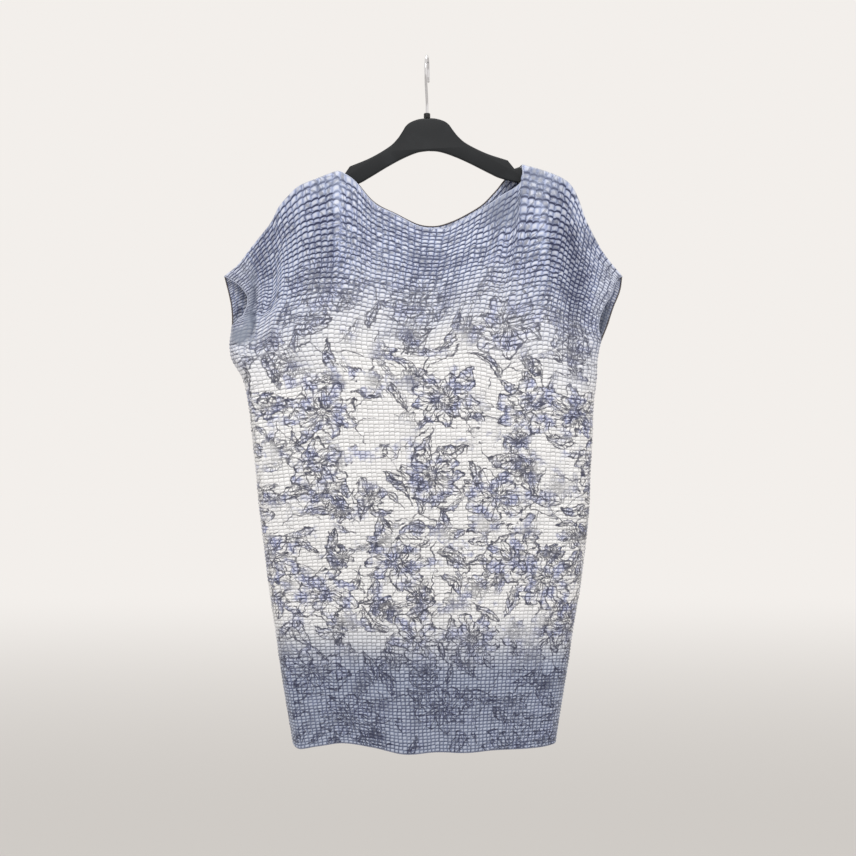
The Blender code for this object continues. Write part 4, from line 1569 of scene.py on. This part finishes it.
def dark_lines(tree, pleats, upper, lower, coloured):
    """Darkness of the lines between the pleats, partly ink and partly painted shade in their
    valleys.
    """
    column = pleats.column
    row = pleats.row
    patchy = patches(tree, pleats.place, LINE_PATCHES)
    near_sleeve = column.rise(*SLEEVE_COLUMNS).without(row.rise(*SLEEVE_ROWS))
    row_line = pleats.row_edge.fall(ROW_LINE[0], coloured * ROW_WIDER + ROW_LINE[1])
    row_share = line_darkness(tree, row, column, patchy, pleats.row_chance, ROW_DARKNESS)
    rows = row_line * row_share.without(near_sleeve * SLEEVE_ROWS_LOST)

    column_line = pleats.column_edge.fall(COLUMN_LINE[0], lower * COLUMN_WIDER + COLUMN_LINE[1])
    column_share = line_darkness(
        tree, column, row, patchy, pleats.column_chance, COLUMN_DARKNESS
    )
    column_share = column_share + coloured * COLUMN_DARKER + lower * COLUMN_DARKER
    pale = abs(column - MIDDLE_COLUMN).rise(*PALE_COLUMNS).without(column.rise(*PALE_END))
    column_share = column_share.without(upper * pale * PALE_LOST) + near_sleeve * SLEEVE_DARKER
    lines = rows.most(column_line * column_share) * coloured.between(WHITE_DARKNESS, 1.0)
    lines = pleats.speck * SPECKS + lines.without(lower * LOWER_LINES_LOST)
    return lines.without(pleats.pressed * PRESSED_LINES_LOST)


def make_cloth(name, offset, groups, lit_turned_edge):
    """Satin pleated cloth: ground shading from lilac over white to blue, ink flowers and leaves,
    and dark lines of ink and painted shade in the pleats, with painted shade in creases and folds
    and painted highlights on the crests.
    """
    material, tree, shader = plain_material(name, roughness=0.5)
    shader.inputs["Sheen Weight"].default_value = 0.25
    shader.inputs["Sheen Roughness"].default_value = 0.4
    pleats = Pleats(tree, offset)
    drift = (noise_number(tree, pleats.place, *DRIFT) - 0.5) * DRIFT_ROWS
    beside_middle = abs(pleats.column - COLUMNS / 2).rise(*SIDE_COLUMNS)
    upper = (pleats.row + drift - beside_middle * SIDE_ROWS).fall(*UPPER_ROWS)
    lower = (pleats.row + drift * 0.5).rise(*LOWER_ROWS)
    tinted = upper.most(lower)
    drawn = draw_print(tree, pleats.place, groups)
    coloured = tinted.most(drawn[1] * WASH_COLOUR)

    ground = paint_ground(tree, pleats, upper, lower, lit_turned_edge)
    ground = paint_print(tree, pleats, upper, tinted, drawn, ground)
    # Painted shade: pressed places turn darker blue
    ground = mix_colour(tree, pleats.pressed * PRESSED_SHADE_SHARE, ground, PRESSED_SHADE_BLUE)
    lines = dark_lines(tree, pleats, upper, lower, coloured)
    # Painted shade of creases and shaded places, and painted light where the value is below 0
    shade = add_node(tree, "ShaderNodeAttribute", {"attribute_name": "creases"}).outputs["Fac"]
    darkness = (lines * SHADE_DEPTH[1] + SHADE_DEPTH[0]) * Number(tree, shade) + lines
    # Painted shade: the lines between pleats, the creases and the shaded places darken the ground
    # toward these colours
    line_ink_and_shade = mix_colour(tree, coloured, CREASE_SHADE_GREY, CREASE_INK_AND_SHADE)
    paint(tree, shader, darkness, ground, line_ink_and_shade)

    column_tops = pleats.column_edge.rise(*COLUMN_TOP).between(COLUMN_TOP_LEAST, 1.0)
    tops = (pleats.row_edge.rise(*ROW_TOP) * column_tops).without(pleats.pressed)
    relief = tops + noise_number(tree, pleats.steady, *CREPE) * CREPE_RELIEF
    add_bump(tree, shader, relief, strength=0.45, distance=0.0008)
    return material


def make_thread(name, colour):
    """Fuzzy overlock thread."""
    material, tree, shader = plain_material(name, roughness=0.75)
    shader.inputs["Sheen Weight"].default_value = 0.3
    place = object_place(tree)
    fibres = noise_number(tree, place, *FIBRES)
    worn = noise_number(tree, place, *THREAD_PATCHES)
    dark = tuple(part * DARKEST_THREAD for part in colour[:3]) + (1.0,)
    share = fibres * THREAD_SHARES[0] + worn * THREAD_SHARES[1]
    paint(tree, shader, share, dark, colour)
    add_bump(tree, shader, fibres, strength=0.5, distance=0.0003)
    return material


def make_plastic(name, colour, roughness):
    """Moulded plastic with a fine grain and faint rubbed patches."""
    material, tree, shader = plain_material(name, roughness)
    shader.inputs["Specular IOR Level"].default_value = 0.3
    place = object_place(tree)
    rubbed = noise_number(tree, place, *RUBBED)
    worn = tuple(part * RUBBED_COLOUR[0] + RUBBED_COLOUR[1] for part in colour[:3]) + (1.0,)
    paint(tree, shader, rubbed.rise(*RUBBED_FROM) * RUBBED_SHARE, colour, worn)
    roughened = rubbed * RUBBED_ROUGHNESS + (roughness - RUBBED_ROUGHNESS / 2)
    connect(tree, roughened, shader.inputs["Roughness"])
    grain = noise_number(tree, place, *GRAIN)
    add_bump(tree, shader, grain, strength=0.18, distance=0.0002)
    return material


def make_chrome():
    """Bright plated wire with faint drawn streaks."""
    material, tree, shader = plain_material("hook chrome", roughness=0.12, metallic=1.0)
    stretched = vector_step(tree, "MULTIPLY", object_place(tree), STREAK_SCALE)
    streaks = noise_number(tree, stretched, scale=1.0, detail=2.0)
    paint(tree, shader, streaks, DARK_CHROME, BRIGHT_CHROME)
    connect(tree, streaks.between(*CHROME_ROUGHNESS), shader.inputs["Roughness"])
    return material


def hanger_outline():
    """Outline of the hanger's body, turned by its tilt about the top of the dome."""
    half = []
    half.extend(smooth_curve(DOME_STROKE, HARD_CURVE_SAMPLES)[:-1])
    half.extend(np.array(NOTCH_STROKE)[:-1])
    for stroke_points in (ARM_TOP_STROKE, ARM_END_STROKE, LOWER_STROKE):
        half.extend(smooth_curve(stroke_points, HARD_CURVE_SAMPLES)[:-1])
    half.append(np.array(LOWER_STROKE[-1]))
    other = [np.array((-x, z)) for x, z in reversed(half[1:-1])]
    turn = np.array((
        (math.cos(HANGER_TILT), -math.sin(HANGER_TILT)),
        (math.sin(HANGER_TILT), math.cos(HANGER_TILT)),
    ))
    pivot = np.array((0.0, DOME_TOP))
    return [turn @ (point - pivot) + pivot for point in half + other]


def make_hanger_body(material):
    """Flat moulded body with rounded edges."""
    mesh = bmesh.new()
    half = HANGER_THICKNESS / 2
    outline = [mesh.verts.new((x * MM, -half * MM, z * MM)) for x, z in hanger_outline()]
    face = mesh.faces.new(outline)
    extruded = bmesh.ops.extrude_face_region(mesh, geom=[face])
    moved = [item for item in extruded["geom"] if isinstance(item, bmesh.types.BMVert)]
    bmesh.ops.translate(mesh, verts=moved, vec=(0, HANGER_THICKNESS * MM, 0))
    bmesh.ops.recalc_face_normals(mesh, faces=mesh.faces)
    flats = [face for face in mesh.faces if abs(face.normal.y) > HANGER_FLAT]
    edges = {edge for face in flats for edge in face.edges}
    bmesh.ops.bevel(
        mesh, geom=list(edges), offset=HANGER_BEVEL * MM, segments=HANGER_BEVEL_SEGMENTS,
        profile=0.5, affect="EDGES", clamp_overlap=True,
    )
    return finish_piece("moulded_hanger", mesh, material, HANGER_SHARP_ANGLE)


def make_collar(material):
    """Small moulded ring round the shank, turned from its profile."""
    profile = [
        (COLLAR_BORE, COLLAR_BOTTOM),
        (COLLAR_RADIUS - COLLAR_CHAMFER, COLLAR_BOTTOM),
        (COLLAR_RADIUS, COLLAR_BOTTOM + COLLAR_CHAMFER),
    ]
    profile += [(COLLAR_RADIUS - inward, COLLAR_TOP - down) for inward, down in COLLAR_ROUNDING]
    profile += [(COLLAR_BORE, COLLAR_TOP)]
    turns = np.arange(COLLAR_SIDES) * 2 * math.pi / COLLAR_SIDES
    mesh = bmesh.new()
    rings = [
        [mesh.verts.new((r * math.cos(t) * MM, r * math.sin(t) * MM, z * MM)) for t in turns]
        for r, z in profile
    ]
    skin(mesh, rings + rings[:1])
    return finish_piece("shank_collar", mesh, material, HANGER_SHARP_ANGLE)


def hook_path():
    """Middle of the wire, from its tip over the arc to the foot of the shank."""
    radius = HOOK_INNER_RADIUS + WIRE_RADIUS
    angles = np.linspace(0.0, math.pi, HOOK_ARC_POINTS)
    arc = [(radius * math.cos(t), -HOOK_INNER_RADIUS + radius * math.sin(t)) for t in angles]
    shank = smooth_curve(SHANK_ROUTE, HARD_CURVE_SAMPLES)[1:]
    route = list(TIP_ROUTE) + arc + [tuple(point) for point in shank]
    points = [
        (behind * math.sin(HOOK_TURN), behind * math.cos(HOOK_TURN), height)
        for behind, height in route
    ]
    return along_path(np.array(points), WIRE_SPACING)


def make_hook(material):
    """Bent wire hook with a rounded tip. One direction across it is square to the hook's plane."""
    path = hook_path()
    from_tip = np.arange(len(path)) * WIRE_SPACING
    share = np.clip(from_tip / TIP_ROUNDING, TIP_SMALLEST, 1.0)
    radii = WIRE_RADIUS * np.sqrt(1 - (1 - share) ** 2)
    square = np.array((math.cos(HOOK_TURN), -math.sin(HOOK_TURN), 0.0))
    other = np.cross(unit(np.gradient(path, axis=0)), square)
    directions = (np.broadcast_to(square, other.shape), other)
    return sweep("wire_hook", path, radii, directions, WIRE_SIDES, material)


def make_stage():
    """Pale floor with painted shade that darkens it near the blouse, and an even pale surrounding.
    """
    mesh = bpy.data.meshes.new("studio_floor")
    quarters = ((-1, -1), (1, -1), (1, 1), (-1, 1))
    corners = [(x * FLOOR_HALF, y * FLOOR_HALF, FLOOR_Z) for x, y in quarters]
    mesh.from_pydata(corners, [], [(0, 1, 2, 3)])
    floor = bpy.data.objects.new("studio_floor", mesh)
    bpy.context.scene.collection.objects.link(floor)
    material, tree, shader = plain_material("pale floor", roughness=0.9)
    shader.inputs["Specular IOR Level"].default_value = 0.0
    away = vector_step(tree, "LENGTH", object_place(tree))
    # Painted shade: the floor is darker near the blouse and turns pale further away
    paint(tree, shader, Number(tree, away).rise(*FLOOR_FADE), NEAR_FLOOR_SHADE, FAR_FLOOR)
    mesh.materials.append(material)
    world = bpy.data.worlds.new("pale room")
    world.use_nodes = True
    background = world.node_tree.nodes["Background"]
    background.inputs["Color"].default_value = ROOM
    background.inputs["Strength"].default_value = 1.0
    bpy.context.scene.world = world
    bpy.context.scene.view_settings.view_transform = "Standard"


def add_light(name, place, target, size, watts):
    """Soft square lamp that points at a target."""
    lamp = bpy.data.lights.new(name, "AREA")
    lamp.energy = watts
    lamp.size = size
    thing = bpy.data.objects.new(name, lamp)
    bpy.context.scene.collection.objects.link(thing)
    direction = np.array(target) - np.array(place)
    thing.location = place
    level = math.hypot(direction[0], direction[1])
    lean = math.atan2(level, -direction[2])
    heading = math.atan2(direction[1], direction[0]) - math.pi / 2
    thing.rotation_euler = (lean, 0.0, heading)


def make_camera():
    """Camera straight in front, framed as the photograph."""
    data = bpy.data.cameras.new("camera")
    data.sensor_width = SENSOR_WIDTH
    data.lens = SENSOR_WIDTH * CAMERA_DISTANCE / (PHOTO_WIDTH * METRES_PER_PIXEL)
    camera = bpy.data.objects.new("camera", data)
    camera.location = (CAMERA_X, -CAMERA_DISTANCE, CAMERA_Z)
    camera.rotation_euler = (math.pi / 2, 0.0, 0.0)
    bpy.context.scene.collection.objects.link(camera)
    bpy.context.scene.camera = camera


def dress_blouse():
    """Both panels and their sewn edges."""
    groups = (make_blossom_group(), make_leaf_group())
    thread = make_thread("edge thread", THREAD)
    brown_thread = make_thread("brown edge thread", BROWN_THREAD)
    hem_thread = make_thread("hem thread", HEM_THREAD)
    panels = (
        ("front", -1, FRONT_PRINT, FRONT_TURNED, thread),
        ("back", 1, BACK_PRINT, 0.0, brown_thread),
    )
    for word, side, offset, lit_turned_edge, edge_thread in panels:
        cloth = make_cloth(f"{word} cloth", offset, groups, lit_turned_edge)
        panel = make_panel(f"{word}_pleated_cloth", side, cloth)
        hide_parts(f"{word}_panel")
        for border in ("neck", "left", "right", "hem"):
            name = f"{word}_{border}_edge"
            sewn_with = hem_thread if border == "hem" else edge_thread
            edge = make_sewn_edge(name, panel_border(side, border), sewn_with)


def dress_hanger():
    """The hanger's three pieces."""
    body_plastic = make_plastic("hanger plastic", HANGER_BLACK, roughness=0.45)
    collar_plastic = make_plastic("collar plastic", COLLAR_BLACK, roughness=0.35)
    pieces = (
        (make_hanger_body(body_plastic), "hanger_body", "hanger_plastic"),
        (make_collar(collar_plastic), "hanger_collar", "collar_plastic"),
        (make_hook(make_chrome()), "hanger_hook", "hook_wire"),
    )
    for piece, node, slot in pieces:
        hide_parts(node)


make_camera()
make_stage()
for lamp_settings in LAMPS:
    add_light(*lamp_settings)
dress_hanger()
dress_blouse()
